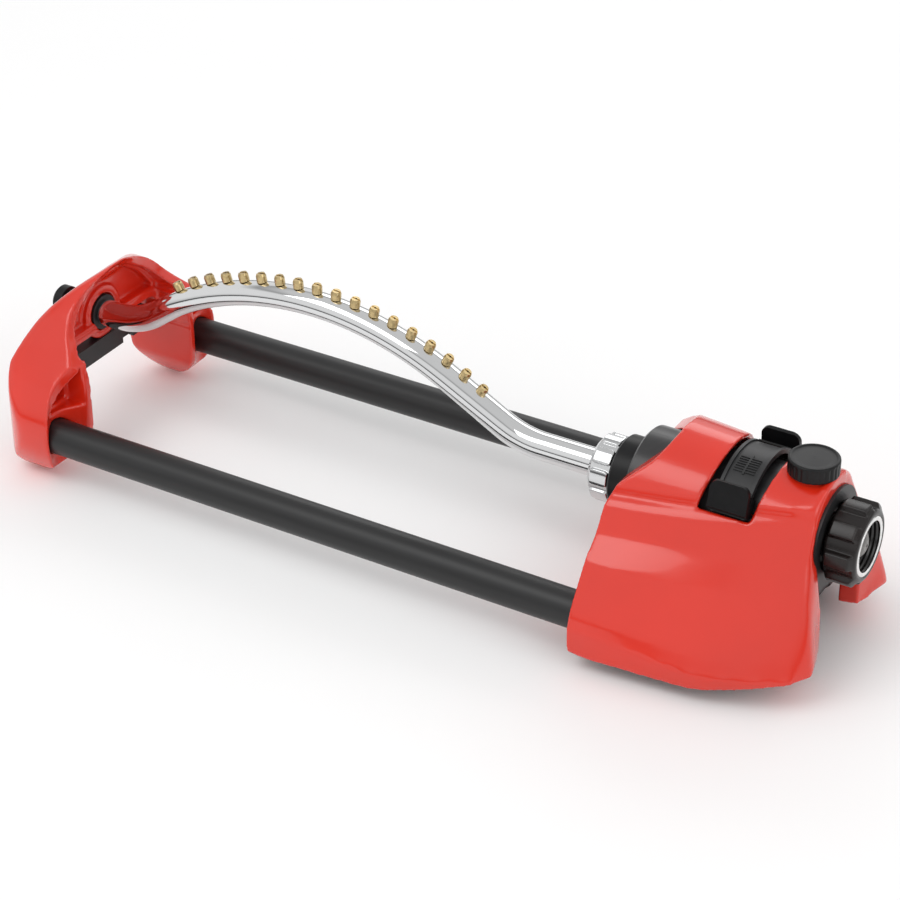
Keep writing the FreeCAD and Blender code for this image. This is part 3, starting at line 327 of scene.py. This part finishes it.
def housing_bosses():
    """Sockets for the runners, posts for the screws and a collar for the knob."""
    bosses = [rod("boss", RUNNER_R + 2.4, 119.2, 132, side * RUNNER_Y, RUNNER_Z)
              for side in SIDES]
    bosses += [post("screw_post", 4.2, 13, 80, x, y) for x, y in SCREW_PLACES]
    for boss in bosses:
        combine(boss, [housing_form("housing_middle", 1.2)], "INTERSECT")
    return bosses + [post("collar", 9.8, 88, 96.1, KNOB_X, 0)]


def housing_openings():
    """Openings for the drum, the hose, the range tabs, the knob, the runners and the screws."""
    drum_r, hose_r, recess_r, knob_r, screw_r = 27.5, 22.6, 25.5, 6.7, 1.8
    openings = [rod("drum_hole", drum_r, 100, 150, 0, AXIS_Z),
                rod("hose_hole", hose_r, 205.5, 260, 0, AXIS_Z),
                block("under_arch", (205.5, -hose_r, -30), (260, hose_r, AXIS_Z)),
                arc_prism("hose_recess", 12, recess_r, 92, 217.0, 260),
                tab_channel(), post("knob_hole", knob_r, 80, 120, KNOB_X, 0)]
    openings += [rod("runner_hole", RUNNER_R + RUNNER_FIT, 100, 130.2, side * RUNNER_Y, RUNNER_Z)
                 for side in SIDES]
    return openings + [post("screw_hole", screw_r, 0, 30, x, y) for x, y in SCREW_PLACES]


def build_housing():
    """Motor housing: a thin moulded shell, open below."""
    shell = housing_form("housing_skin")
    combine(shell, [housing_hollow()])
    combine(shell, housing_bosses(), "UNION")
    combine(shell, housing_openings())
    melt(shell, 0.75, 7)
    for side in SIDES:
        soften_edge(shell, (217.0, side * 21.0, 89.0), (231.5, side * 44.0, 12.0), 12.0, 150)
        soften_edge(shell, (118.5, side * 37.0, 77.0), (118.5, side * 75.0, 10.0), 4.0, 8)
    thin_out(shell, 0.5)
    return shell


# -------------------------------------------------------------------- rear arch

# front view of one half: round the outside down to the foot, and back up the inside
ARCH_OUTER = [(0, 100.4), (4, 99.7), (8, 97.9), (13, 95.2), (18, 92.7), (26, 88.8), (33, 84.8),
              (39, 79.5), (44, 73.5), (50, 66.5), (57, 59.5), (65, 51.5), (71, 43.5), (74.6, 35.5),
              (75.6, 27), (74.4, 18), (70, 9), (64.5, 2.6), (59, 0.2), (55.5, 2.0)]
ARCH_INNER = [(55.5, 2.0), (49.5, 9.2), (44.6, 17), (44.0, 24), (44.0, 48), (42.8, 54),
              (38, 57.2), (27, 57.8), (14, 57.8), (0, 57.8)]
# side view from the top, over the back, down to the foot, and the front edge back up
ARCH_BACK = [(-4.5, 100.2), (-8, 98.4), (-12, 95.4), (-21, 88.2), (-29, 79.0), (-35, 68),
             (-38.6, 54), (-39.8, 40), (-39.2, 27), (-37.0, 16), (-32.6, 8), (-27, 2), (-20.5, 0),
             (-14, 0.4)]
ARCH_FRONT = [(-22, -8), (-14, 1), (-8, 5.0), (-2, 10), (2.6, 16), (4.6, 24), (4.8, 46),
              (2.6, 58), (-3, 66), (-9, 74), (-11.8, 83), (-11.5, 90), (-8.5, 95.5),
              (-4.5, 101), (-2, 108)]
# half plan view: round the back, and the front edge
ARCH_PLAN_BACK = [(-6, 77.4), (-14, 77), (-24, 73.5), (-33, 66), (-38.6, 55), (-41, 40),
                  (-41.4, 20), (-41.5, 0)]
ARCH_PLAN_FRONT = [(-9, 82), (-2.5, 76.5), (-1.4, 74.6), (-3.6, 70), (-4.8, 65), (-3, 58),
                   (1.6, 51), (5.2, 46), (5, 31), (8, 18), (12, 8)]
ARCH_X = -188.0
LIP_STEP, BOWL_STEP = 4.8, 6.8  # how far the lip and the bowl behind it lie inside the skin
BEARING_FACE = -207.0


def arch_half(inset):
    """Half of the arch's front outline, moved in from the outer skin by inset."""
    outer = [(max(y - inset * min(1, y / 30), 0), z - inset * (0.75 if z > 40 else -0.6))
             for y, z in smooth_line(ARCH_OUTER, 80)]
    inner = [(y + (inset * 0.9 if y > 20 else 0), z + inset * 0.8)
             for y, z in smooth_line(ARCH_INNER, 50)[1:]]
    return outer + inner


def side_tool(name, line):
    """A side-view outline pushed right across the arch."""
    return prism(name, [(ARCH_X + x, z) for x, z in line], -90, 90, SIDE_VIEW)


def plan_tool(name, line):
    """A plan outline, mirrored about the middle plane and pushed up through the arch."""
    outline = line + [(x, -y) for x, y in reversed(line)]
    return prism(name, [(ARCH_X + x, y) for x, y in outline], -10, 120, PLAN_VIEW)


def arch_form(name, inset=0.0, back=-60.0, foot=-10.0):
    """The arch's front outline moved in by inset, in front of back and above foot."""
    half = arch_half(inset)
    ring = half + [(-y, z) for y, z in reversed(half) if y > 0.01]
    front = prism(name, ring, ARCH_X + back, ARCH_X + 40, FRONT_VIEW)
    limit = block("arch_depth", (ARCH_X - 70, -90, foot), (ARCH_X + 50, 90, 120))
    return combine(front, [limit], "INTERSECT")


def crown_tool(name, inset, back, foot):
    """A cut under the crown that leaves a wall all the way up the arch's sloping back."""
    wall = [(x + 3.0, z - 2.4) for x, z in smooth_line(ARCH_BACK, 90)]
    hollow = side_tool("arch_wall", wall + [(60, -2.0), (60, 97.8)])
    return combine(arch_form(name, inset, back, foot), [hollow], "INTERSECT")


def twin(obj):
    """A second copy of a mesh object."""
    copy = obj.copy()
    copy.data = obj.data.copy()
    scene.collection.objects.link(copy)
    return copy


def solid_arch():
    """The arch before it is hollowed: the rounded back first, then the crisp front edges."""
    skin = arch_form("arch_skin")
    back = smooth_line(ARCH_BACK, 90) + [(45, 0.4), (45, 100.2)]
    plan = [(45, 77.6)] + smooth_line(ARCH_PLAN_BACK, 60)[:-1]
    combine(skin, [side_tool("arch_side", back), plan_tool("arch_plan", plan)], "INTERSECT")
    melt(skin, 1.2, 22)
    front = smooth_line(ARCH_FRONT, 120) + [(-70, 108), (-70, -8)]
    plan = [(-70, 82)] + smooth_line(ARCH_PLAN_FRONT, 90)
    tools = [side_tool("arch_side", front), plan_tool("arch_plan", plan)]
    return combine(skin, tools, "INTERSECT")


def inner_walls(skin):
    """The strips of the solid arch that stay as the legs' inner walls."""
    walls = []
    for side in SIDES:
        near, far = sorted((side * 43.6, side * 47.6))
        limit = block("wall_limit", (-204, near, 44), (-150, far, 76))
        walls.append(combine(twin(skin), [limit], "INTERSECT"))
    return walls


def arch_hollows():
    """A rim band, one step down to the bowl, and no lip above the opening between the legs."""
    shelf = [(-44.6, 40), (44.6, 40), (44.6, 56), (40, 64), (-40, 64), (-44.6, 56)]
    return [arch_form("lip", LIP_STEP, -8.0, 39.0),
            arch_form("bowl", BOWL_STEP, -14.0, 41.0),
            crown_tool("top_lip", LIP_STEP, -16.5, 60.0),
            crown_tool("top_bowl", BOWL_STEP, -22.0, 63.0),
            prism("shelf", shelf, ARCH_X - 16, ARCH_X + 40, FRONT_VIEW)]


def arch_holes():
    """Sockets for the runners, and the stepped bore for the bearing and its plug."""
    holes = [rod("arch_runner_hole", RUNNER_R + RUNNER_FIT, -208.3, -150,
                 side * RUNNER_Y, RUNNER_Z) for side in SIDES]
    behind = BEARING_FACE - 60
    return holes + [rod("bearing_recess", 10.4, BEARING_FACE - 3.6, -150, 0, AXIS_Z),
                    rod("bearing_bore", 8.05, behind, -190, 0, AXIS_Z),
                    rod("plug_recess", 10.6, behind, BEARING_FACE - 15, 0, AXIS_Z)]


def build_arch():
    """A hollow horseshoe, open to the front, with a round pocket for the bearing."""
    skin = solid_arch()
    walls = inner_walls(skin)
    combine(skin, arch_hollows())
    sleeve = rod("bearing_sleeve", 15.0, BEARING_FACE - 6, BEARING_FACE, 0, AXIS_Z)
    combine(skin, walls + [sleeve], "UNION")
    combine(skin, arch_holes())
    return melt(skin, 0.7, 7, 0.5)


# ------------------------------------------------------------------- spray tube

TUBE_RADIUS, TUBE_WALL = 7.2, 1.0
BOW_RADIUS, HEEL_RADIUS = 165.0, 50.0  # of the long bow, and of the bends at its two ends
BOW_PEAK_X, BOW_PEAK_Z = -70.0, AXIS_Z + 42.5
BOW_LEFT, BOW_RIGHT = math.radians(34), math.radians(28)  # how far the bow turns each way
TUBE_START, TUBE_END = -206, 103.5
FLAT_START, FLAT_END, FLAT_FADE = -184, 52, 40  # the pressed part, and how it fades out


def bow_line():
    """Centre line of the spray tube, as (x, z), level at both ends."""
    centre_z = BOW_PEAK_Z - BOW_RADIUS
    bow = [(BOW_PEAK_X + BOW_RADIUS * math.sin(a), centre_z + BOW_RADIUS * math.cos(a))
           for a in np.linspace(-BOW_LEFT, BOW_RIGHT, 96)]
    left = bow[0][0] - (bow[0][1] - AXIS_Z) / math.tan(BOW_LEFT)
    left -= HEEL_RADIUS * math.tan(BOW_LEFT / 2)
    right = bow[-1][0] + (bow[-1][1] - AXIS_Z) / math.tan(BOW_RIGHT)
    right += HEEL_RADIUS * math.tan(BOW_RIGHT / 2)
    line = [(x, AXIS_Z) for x in np.linspace(TUBE_START, left, 8)]
    line += [(left + HEEL_RADIUS * math.sin(a), AXIS_Z + HEEL_RADIUS * (1 - math.cos(a)))
             for a in np.linspace(0, BOW_LEFT, 22)[1:]]
    line += bow
    line += [(right - HEEL_RADIUS * math.sin(a), AXIS_Z + HEEL_RADIUS * (1 - math.cos(a)))
             for a in np.linspace(BOW_RIGHT, 0, 22)]
    return line + [(x, AXIS_Z) for x in np.linspace(right, TUBE_END, 10)[1:]]


def tube_ring(x, z, slope, wall):
    """Section of the tube at (x, z), pressed a little flatter under the nozzles."""
    share = soft_step(min(x - FLAT_START, FLAT_END - x), FLAT_FADE)
    half_width = TUBE_RADIUS + 0.6 * share
    low, high = TUBE_RADIUS - 1.5 * share, TUBE_RADIUS - 0.1 * share
    ring = []
    for i in range(48):
        t = 2 * math.pi * i / 48
        across = (half_width - wall) * math.sin(t)
        up = ((high if math.cos(t) > 0 else low) - wall) * math.cos(t)
        ring.append((x - up * math.sin(slope), across, z + up * math.cos(slope)))
    return ring


def build_tube():
    """The spray tube, open at both ends."""
    line = np.array(bow_line())
    keep = [0] + [i for i in range(1, len(line)) if np.hypot(*(line[i] - line[i - 1])) > 0.05]
    line = line[keep]
    steps = np.gradient(line, axis=0)
    slopes = np.arctan2(steps[:, 1], steps[:, 0])
    outer = [tube_ring(x, z, slope, 0.0) for (x, z), slope in zip(line, slopes)]
    inner = [tube_ring(x, z, slope, TUBE_WALL) for (x, z), slope in zip(line, slopes)]
    return loft("tube_skin", outer + inner[::-1] + outer[:1], closed_ends=False)


# ------------------------------------------------------------- grips and knobs

def pad_height(angle, count, half_width, edge):
    """1 on a raised pad, 0 between pads, for pads spaced evenly round a circle."""
    pitch = 2 * math.pi / count
    offset = abs((angle + pitch / 2) % pitch - pitch / 2)
    return soft_step(half_width + edge - offset, edge)


def build_nut():
    """Chromed union nut: a chamfered ring with nine raised, rounded pads."""
    start, pads, pad_rise = 94.5, 9, 1.35
    pad_start, pad_end = 1.9, 12.5

    def radius_at(x, radius, angle):
        if radius < 14 or x < 1.6:
            return radius
        ends = soft_step(x - pad_start, 0.9) * soft_step(pad_end - x, 0.9)
        corner = min(x - pad_start, pad_end - x)
        narrow = 0.045 * (1 - soft_step(corner, 2.6))
        return radius + pad_rise * ends * pad_height(angle, pads, 0.232 - narrow, 0.05)

    profile = [(0.0, 7.5), (0.0, 13.0), (0.4, 13.8), (1.0, 14.5), (1.6, 15.1)]
    profile += [(x, 15.6) for x in np.linspace(pad_start, pad_end, 34)]
    profile += [(12.8, 15.3), (13.0, 14.9), (13.0, 12.45), (3.5, 12.45), (3.5, 7.5)]
    return lathe("nut_skin", profile, (start, 0, AXIS_Z), segments=432, radius_at=radius_at)


def build_coupling():
    """Hose swivel grip: a cup with eight broad lobes, rounded at the front."""
    start, lobes, lobe_rise = 219.0, 8, 2.75

    def radius_at(x, radius, angle):
        if radius < 16.6:
            return radius
        ends = soft_step(x - 0.6, 2.2) * soft_step(16.4 - x, 2.4)
        return radius + lobe_rise * ends * pad_height(angle, lobes, 0.15, 0.10)

    profile = [(0.0, 8.0), (0.0, 16.2), (0.5, 17.2), (1.2, 17.8)]
    profile += [(x, 18.0) for x in np.linspace(1.6, 15.8, 36)]
    profile += [(16.2, 17.8), (16.7, 17.2), (17.0, 16.4), (17.0, 15.2), (16.7, 14.82),
                (3.0, 14.82), (3.0, 8.0)]
    return lathe("grip_skin", profile, (start, 0, AXIS_Z), segments=512, radius_at=radius_at)


def build_insert():
    """Metal hose thread: a ring with a real helical groove inside."""
    start, pitch, depth = 222.0, 2.2, 0.55
    first, last = 6.6, 13.6  # where the groove begins and ends

    def radius_at(x, radius, angle):
        if radius > 12.6 or x < first or x > last:
            return radius
        phase = (x / pitch - angle / (2 * math.pi)) % 1.0
        return radius + depth * (0.5 - 0.5 * math.cos(2 * math.pi * phase))

    profile = [(0.0, 14.78), (14.0, 14.78), (14.05, 14.2), (14.05, 12.9), (13.8, 12.5)]
    profile += [(x, 12.5) for x in np.linspace(last, first, 60)]
    profile += [(6.2, 12.5), (6.2, 13.8), (0.0, 13.8)]
    return lathe("thread_skin", profile, (start, 0, AXIS_Z), segments=144, radius_at=radius_at)


def screen_dome(rim_x):
    """Points and faces of the dome that the screen's wires follow."""
    foot, rise, tip = 9.0, 6.4, 0.06  # foot radius, height, and the angle left open at the top
    rows, columns = 14, 52
    radius = (foot ** 2 + rise ** 2) / (2 * rise)
    centre = rim_x + 0.4 + rise - radius
    points = []
    for polar in np.linspace(tip, math.asin(foot / radius), rows + 1):
        for c in range(columns):
            t = 2 * math.pi * c / columns
            points.append((centre + radius * math.cos(polar),
                           radius * math.sin(polar) * math.sin(t),
                           AXIS_Z + radius * math.sin(polar) * math.cos(t)))
    faces = [(r * columns + c, r * columns + (c + 1) % columns,
              (r + 1) * columns + (c + 1) % columns, (r + 1) * columns + c)
             for r in range(rows) for c in range(columns)]
    return points, faces


def build_filter():
    """Domed woven screen: crossing wires as a mesh, on a flat steel rim."""
    rim_x, wire = 227.6, 0.32
    cup = mesh_object("screen_skin", *screen_dome(rim_x))
    apply_modifier(cup, "WIREFRAME", thickness=wire * MM, use_replace=True,
                   use_even_offset=False)
    rim = lathe("screen_rim", [(0, 8.4), (0, 12.2), (0.5, 12.2), (0.5, 8.4)],
                (rim_x, 0, AXIS_Z), segments=96)
    bpy.ops.object.select_all(action="DESELECT")
    rim.select_set(True)
    cup.select_set(True)
    bpy.context.view_layer.objects.active = cup
    bpy.ops.object.join()
    return cup


def build_knob():
    """Flow knob: finely fluted edge, dished top with a soft rim, hub below."""
    top, flutes, flute_depth = 104.6, 26, 0.34

    def radius_at(z, radius, angle):
        if radius < 11.6:
            return radius
        wave = 0.5 + 0.5 * math.cos(angle * flutes)
        ends = soft_step(z + 7.9, 1.2) * soft_step(-0.5 - z, 1.2)
        return radius - flute_depth * wave ** 2 * ends

    profile = [(-8.2, 10.4), (-8.2, 11.7), (-7.9, 12.1)]
    profile += [(z, 12.3) for z in np.linspace(-7.5, -0.9, 14)]
    profile += [(-0.45, 12.15), (-0.15, 11.8), (0, 11.3), (-0.05, 10.8), (-0.3, 10.4),
                (-0.42, 9.8)]
    profile += [(-0.42 + 0.012 * (9.8 - r), r) for r in (8, 6, 4, 2.5, 1.2, 0.4, 0.002)]
    profile += [(-1.25, 0.002), (-1.25, 3.04), (-10.6, 3.04), (-10.6, 5.6), (-3.6, 5.6),
                (-3.6, 10.4)]
    return lathe("knob_skin", profile, (KNOB_X, 0, top), axis="z", segments=360,
                 radius_at=radius_at)


# --------------------------------------------------------------------- surfaces

def ramp_between(nodes, low, high):
    ramp = nodes.new("ShaderNodeValToRGB")
    ramp.color_ramp.elements[0].position = 0.3
    ramp.color_ramp.elements[1].position = 0.7
    ramp.color_ramp.elements[0].color = (*low, 1)
    ramp.color_ramp.elements[1].color = (*high, 1)
    return ramp


def noise(nodes, links, vector, scale, detail):
    texture = nodes.new("ShaderNodeTexNoise")
    texture.inputs["Scale"].default_value = scale
    texture.inputs["Detail"].default_value = detail
    links.new(vector, texture.inputs["Vector"])
    return texture.outputs["Fac"]


def surface(name, colour, rough, metallic=0.0, blotch=0.06, blotch_scale=60.0, grain=2500.0,
            relief=0.02, stretch=(1, 1, 1), coat=0.0, rough_spread=0.06, specular=0.5):
    """Procedural material: slow colour and gloss change, and a fine grain in relief."""
    material = bpy.data.materials.new(name)
    material.use_nodes = True
    nodes, links = material.node_tree.nodes, material.node_tree.links
    shader = nodes["Principled BSDF"]
    constants = {"Metallic": metallic, "Coat Weight": coat, "Coat Roughness": 0.06,
                 "Specular IOR Level": specular}
    for socket, value in constants.items():
        shader.inputs[socket].default_value = value
    place = nodes.new("ShaderNodeTexCoord")
    mapping = nodes.new("ShaderNodeMapping")
    mapping.inputs["Scale"].default_value = stretch
    links.new(place.outputs["Object"], mapping.inputs["Vector"])
    slow = noise(nodes, links, mapping.outputs["Vector"], blotch_scale, 4)
    ramp = ramp_between(nodes, tuple(c * (1 - blotch) for c in colour),
                        tuple(min(c * (1 + blotch), 1) for c in colour))
    links.new(slow, ramp.inputs["Fac"])
    links.new(ramp.outputs["Color"], shader.inputs["Base Color"])
    spread = nodes.new("ShaderNodeMapRange")
    spread.inputs["To Min"].default_value = max(rough - rough_spread, 0.02)
    spread.inputs["To Max"].default_value = rough + rough_spread
    links.new(slow, spread.inputs["Value"])
    links.new(spread.outputs["Result"], shader.inputs["Roughness"])
    fine = noise(nodes, links, mapping.outputs["Vector"], grain, 2)
    bump = nodes.new("ShaderNodeBump")
    bump.inputs["Strength"].default_value = 0.35
    bump.inputs["Distance"].default_value = relief * MM
    links.new(fine, bump.inputs["Height"])
    links.new(bump.outputs["Normal"], shader.inputs["Normal"])
    return material


RED = (0.70, 0.023, 0.0075)
MATERIALS = {
    "red": surface("moulded_red", RED, 0.22, blotch=0.05, blotch_scale=18, grain=420,
                   relief=0.012, coat=0.4),
    "runner": surface("satin_black_tube", (0.0085, 0.0085, 0.009), 0.42, blotch=0.25,
                      blotch_scale=240, grain=2600, relief=0.02, stretch=(0.08, 1, 1)),
    "chrome": surface("polished_chrome", (0.70, 0.705, 0.71), 0.055, metallic=1.0, blotch=0.03,
                      blotch_scale=90, grain=1600, relief=0.004, stretch=(0.12, 1, 1),
                      rough_spread=0.03),
    "nut": surface("plated_nut", (0.64, 0.645, 0.65), 0.09, metallic=1.0, blotch=0.04,
                   blotch_scale=200, grain=1800, relief=0.006, rough_spread=0.04),
    "brass": surface("turned_brass", (0.56, 0.43, 0.22), 0.3, metallic=1.0, blotch=0.14,
                     blotch_scale=700, grain=4000, relief=0.015),
    "control": surface("gloss_black_plastic", (0.007, 0.007, 0.0075), 0.36, blotch=0.25,
                       blotch_scale=120, grain=1900, relief=0.02, specular=0.24),
    "tab": surface("matt_black_plastic", (0.006, 0.006, 0.0065), 0.42, blotch=0.25,
                   blotch_scale=120, grain=1900, relief=0.02, specular=0.16),
    "textured": surface("grained_black_plastic", (0.016, 0.016, 0.017), 0.44, blotch=0.25,
                        blotch_scale=160, grain=1500, relief=0.05),
    "brown_black": surface("warm_black_plastic", (0.010, 0.007, 0.0065), 0.26, blotch=0.3,
                           blotch_scale=90, grain=1500, relief=0.03, specular=0.4),
    "seal": surface("seal_rubber", (0.022, 0.021, 0.020), 0.62, blotch=0.2, blotch_scale=300,
                    grain=2200, relief=0.04),
    "washer": surface("washer_rubber", (0.035, 0.034, 0.032), 0.6, blotch=0.2,
                      blotch_scale=300, grain=2200, relief=0.04),
    "gear": surface("white_gear_resin", (0.72, 0.70, 0.63), 0.38, blotch=0.06,
                    blotch_scale=260, grain=2400, relief=0.02),
    "turbine": surface("blue_turbine_resin", (0.10, 0.22, 0.42), 0.36, blotch=0.08,
                       blotch_scale=260, grain=2400, relief=0.02),
    "pin": surface("ground_steel_pin", (0.56, 0.56, 0.57), 0.25, metallic=1.0, blotch=0.08,
                   blotch_scale=500, grain=3500, relief=0.01),
    "screw": surface("zinc_screw", (0.50, 0.50, 0.51), 0.34, metallic=1.0, blotch=0.12,
                     blotch_scale=500, grain=3500, relief=0.02),
    "insert": surface("plated_thread", (0.80, 0.80, 0.79), 0.16, metallic=1.0, blotch=0.08,
                      blotch_scale=300, grain=2600, relief=0.01),
    "screen": surface("woven_steel", (0.46, 0.45, 0.44), 0.32, metallic=1.0, blotch=0.15,
                      blotch_scale=700, grain=4000, relief=0.01),
    "case": surface("case_grey_black", (0.020, 0.020, 0.021), 0.33, blotch=0.25,
                    blotch_scale=140, grain=1800, relief=0.03, coat=0.1),
}


def paint_shade_inside(material, edge):
    """Metal only beyond x = edge (mm); further in, painted shade: the thread is coloured
    near-black and not metal.
    """
    nodes, links = material.node_tree.nodes, material.node_tree.links
    shader = nodes["Principled BSDF"]
    colour = shader.inputs["Base Color"].links[0].from_socket
    place = nodes.new("ShaderNodeTexCoord")
    split = nodes.new("ShaderNodeSeparateXYZ")
    links.new(place.outputs["Object"], split.inputs["Vector"])
    beyond = nodes.new("ShaderNodeMath")
    beyond.operation = "GREATER_THAN"
    beyond.inputs[1].default_value = edge * MM
    links.new(split.outputs["X"], beyond.inputs[0])
    mix = nodes.new("ShaderNodeMix")
    mix.data_type = "RGBA"
    # painted shade: near-black colour for the thread inside the metal mouth
    mix.inputs["A"].default_value = (0.014, 0.013, 0.013, 1)
    links.new(beyond.outputs["Value"], mix.inputs["Factor"])
    links.new(colour, mix.inputs["B"])
    links.new(mix.outputs["Result"], shader.inputs["Base Color"])
    links.new(beyond.outputs["Value"], shader.inputs["Metallic"])


# painted shade inside the hose thread, behind its metal mouth
paint_shade_inside(MATERIALS["insert"], 235.7)


def paint(obj, material):
    obj.data.materials.clear()
    obj.data.materials.append(MATERIALS[material])


# ------------------------------------------------------------------- the pieces

REPLACEMENTS = [
    # builder, body, replaced node, slot, material
    (build_housing, "base", "motor_housing", "red_shell", "red"),
    (build_arch, "base", "rear_arch", "red_shell", "red"),
    (build_tube, "swing", "spray_tube", "chrome_tube", "chrome"),
    (build_nut, "swing", "union_nut", "chrome_nut", "nut"),
    (build_coupling, "hose_swivel", "coupling_grip", "black_control", "brown_black"),
    (build_insert, "hose_swivel", "coupling_insert", "insert_metal", "insert"),
    (build_filter, "hose_swivel", "filter_screen", "screen_steel", "screen"),
    (build_knob, "valve", "flow_knob", "black_control", "control"),
]
for build, body, node, slot, material in REPLACEMENTS:
    piece = build()
    paint(piece, material)
    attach(piece, body)
    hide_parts(node)

CARRIED = {
    "runner_left": "runner", "runner_right": "runner", "nozzles": "brass",
    "tube_seal": "seal", "end_cap": "control", "rear_bushing": "textured",
    "cross_brace": "textured", "output_neck": "control", "neck_seal": "seal",
    "motor_case": "case", "gear_plate": "gear", "motor_cap": "case", "gear_pins": "pin",
    "output_gear": "gear", "second_gear": "gear", "first_gear": "gear",
    "turbine": "turbine", "front_range_tab": "tab", "rear_range_tab": "tab",
    "scale_plate": "textured", "trip_ring": "textured", "inlet_flange": "textured",
    "valve_body": "case", "valve_spindle": "pin", "spindle_seal": "seal",
    "inlet_stem": "textured", "hose_washer": "washer", "base_cover": "textured",
    "base_screws": "screw", "drum_screws": "screw",
}
replaced = {row[2] for row in REPLACEMENTS}
for node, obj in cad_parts.items():
    if node not in replaced:
        paint(obj, CARRIED[node])


# ------------------------------------------------------------ floor, light, camera

FLOOR_HALF, FLOOR_Z = 4000.0, -0.4
LIGHT_TARGET = (0.0, 0.0, 0.05)
LIGHTS = [
    # name, place, size, power
    ("key", (-0.5, -0.9, 1.5), (1.2, 0.8), 7.5),
    ("fill", (1.3, -0.5, 0.9), (0.9, 0.9), 3),
    ("back", (-0.2, 1.4, 1.0), (1.4, 0.6), 4),
]
# brightness of the room from straight down (0) to straight up (1)
ROOM_STRENGTH = 0.94
ROOM_BOTTOM, ROOM_TOP = 0.75, 0.8
ROOM_BANDS = [(0.45, 0.62), (0.49, 0.10), (0.53, 0.12), (0.56, 0.75), (0.62, 1.0), (0.80, 1.0),
              (0.84, 0.45), (0.90, 0.8)]
CAMERA_PLACE, CAMERA_TARGET = (0.5793, -0.9551, 0.7327), (0.00965, 0.0, 0.04637)
CAMERA_LENS, CAMERA_SENSOR = 103.6, 36.0


def stage_floor():
    corners = [(-1, -1), (1, -1), (1, 1), (-1, 1)]
    points = [(x * FLOOR_HALF, y * FLOOR_HALF, FLOOR_Z) for x, y in corners]
    floor = mesh_object("floor", points, [(0, 1, 2, 3)])
    floor.data.materials.append(surface("pale_floor", (0.97, 0.97, 0.97), 0.7, blotch=0.01,
                                        blotch_scale=3, grain=300, relief=0.02,
                                        specular=0.1))


def area_light(name, place, size, power):
    data = bpy.data.lights.new(name, "AREA")
    data.shape = "RECTANGLE"
    data.size, data.size_y = size
    data.energy = power
    light = bpy.data.objects.new(name, data)
    scene.collection.objects.link(light)
    light.location = place
    direction = Vector(LIGHT_TARGET) - Vector(place)
    light.rotation_euler = direction.to_track_quat("-Z", "Y").to_euler()


def grey(value):
    return (value, value, value, 1)


def studio_world():
    """A bright room with a dark band near eye level, so that chrome has bands to show."""
    world = bpy.data.worlds.new("studio")
    world.use_nodes = True
    nodes, links = world.node_tree.nodes, world.node_tree.links
    background = nodes["Background"]
    background.inputs["Strength"].default_value = ROOM_STRENGTH
    place = nodes.new("ShaderNodeTexCoord")
    split = nodes.new("ShaderNodeSeparateXYZ")
    spread = nodes.new("ShaderNodeMapRange")
    spread.inputs["From Min"].default_value = -1
    spread.inputs["From Max"].default_value = 1
    ramp = nodes.new("ShaderNodeValToRGB")
    stops = ramp.color_ramp.elements
    stops[0].position, stops[0].color = 0.0, grey(ROOM_BOTTOM)
    stops[1].position, stops[1].color = 1.0, grey(ROOM_TOP)
    for position, value in ROOM_BANDS:
        stops.new(position).color = grey(value)
    links.new(place.outputs["Generated"], split.inputs["Vector"])
    links.new(split.outputs["Z"], spread.inputs["Value"])
    links.new(spread.outputs["Result"], ramp.inputs["Fac"])
    links.new(ramp.outputs["Color"], background.inputs["Color"])
    scene.world = world


def make_camera():
    data = bpy.data.cameras.new("camera")
    data.lens, data.sensor_width = CAMERA_LENS, CAMERA_SENSOR
    data.clip_start, data.clip_end = 0.05, 50
    camera = bpy.data.objects.new("camera", data)
    scene.collection.objects.link(camera)
    camera.location = CAMERA_PLACE
    direction = Vector(CAMERA_TARGET) - camera.location
    camera.rotation_mode = "QUATERNION"
    camera.rotation_quaternion = direction.to_track_quat("-Z", "Y")
    scene.camera = camera


stage_floor()
studio_world()
for row in LIGHTS:
    area_light(*row)
make_camera()
scene.view_settings.view_transform = "Standard"
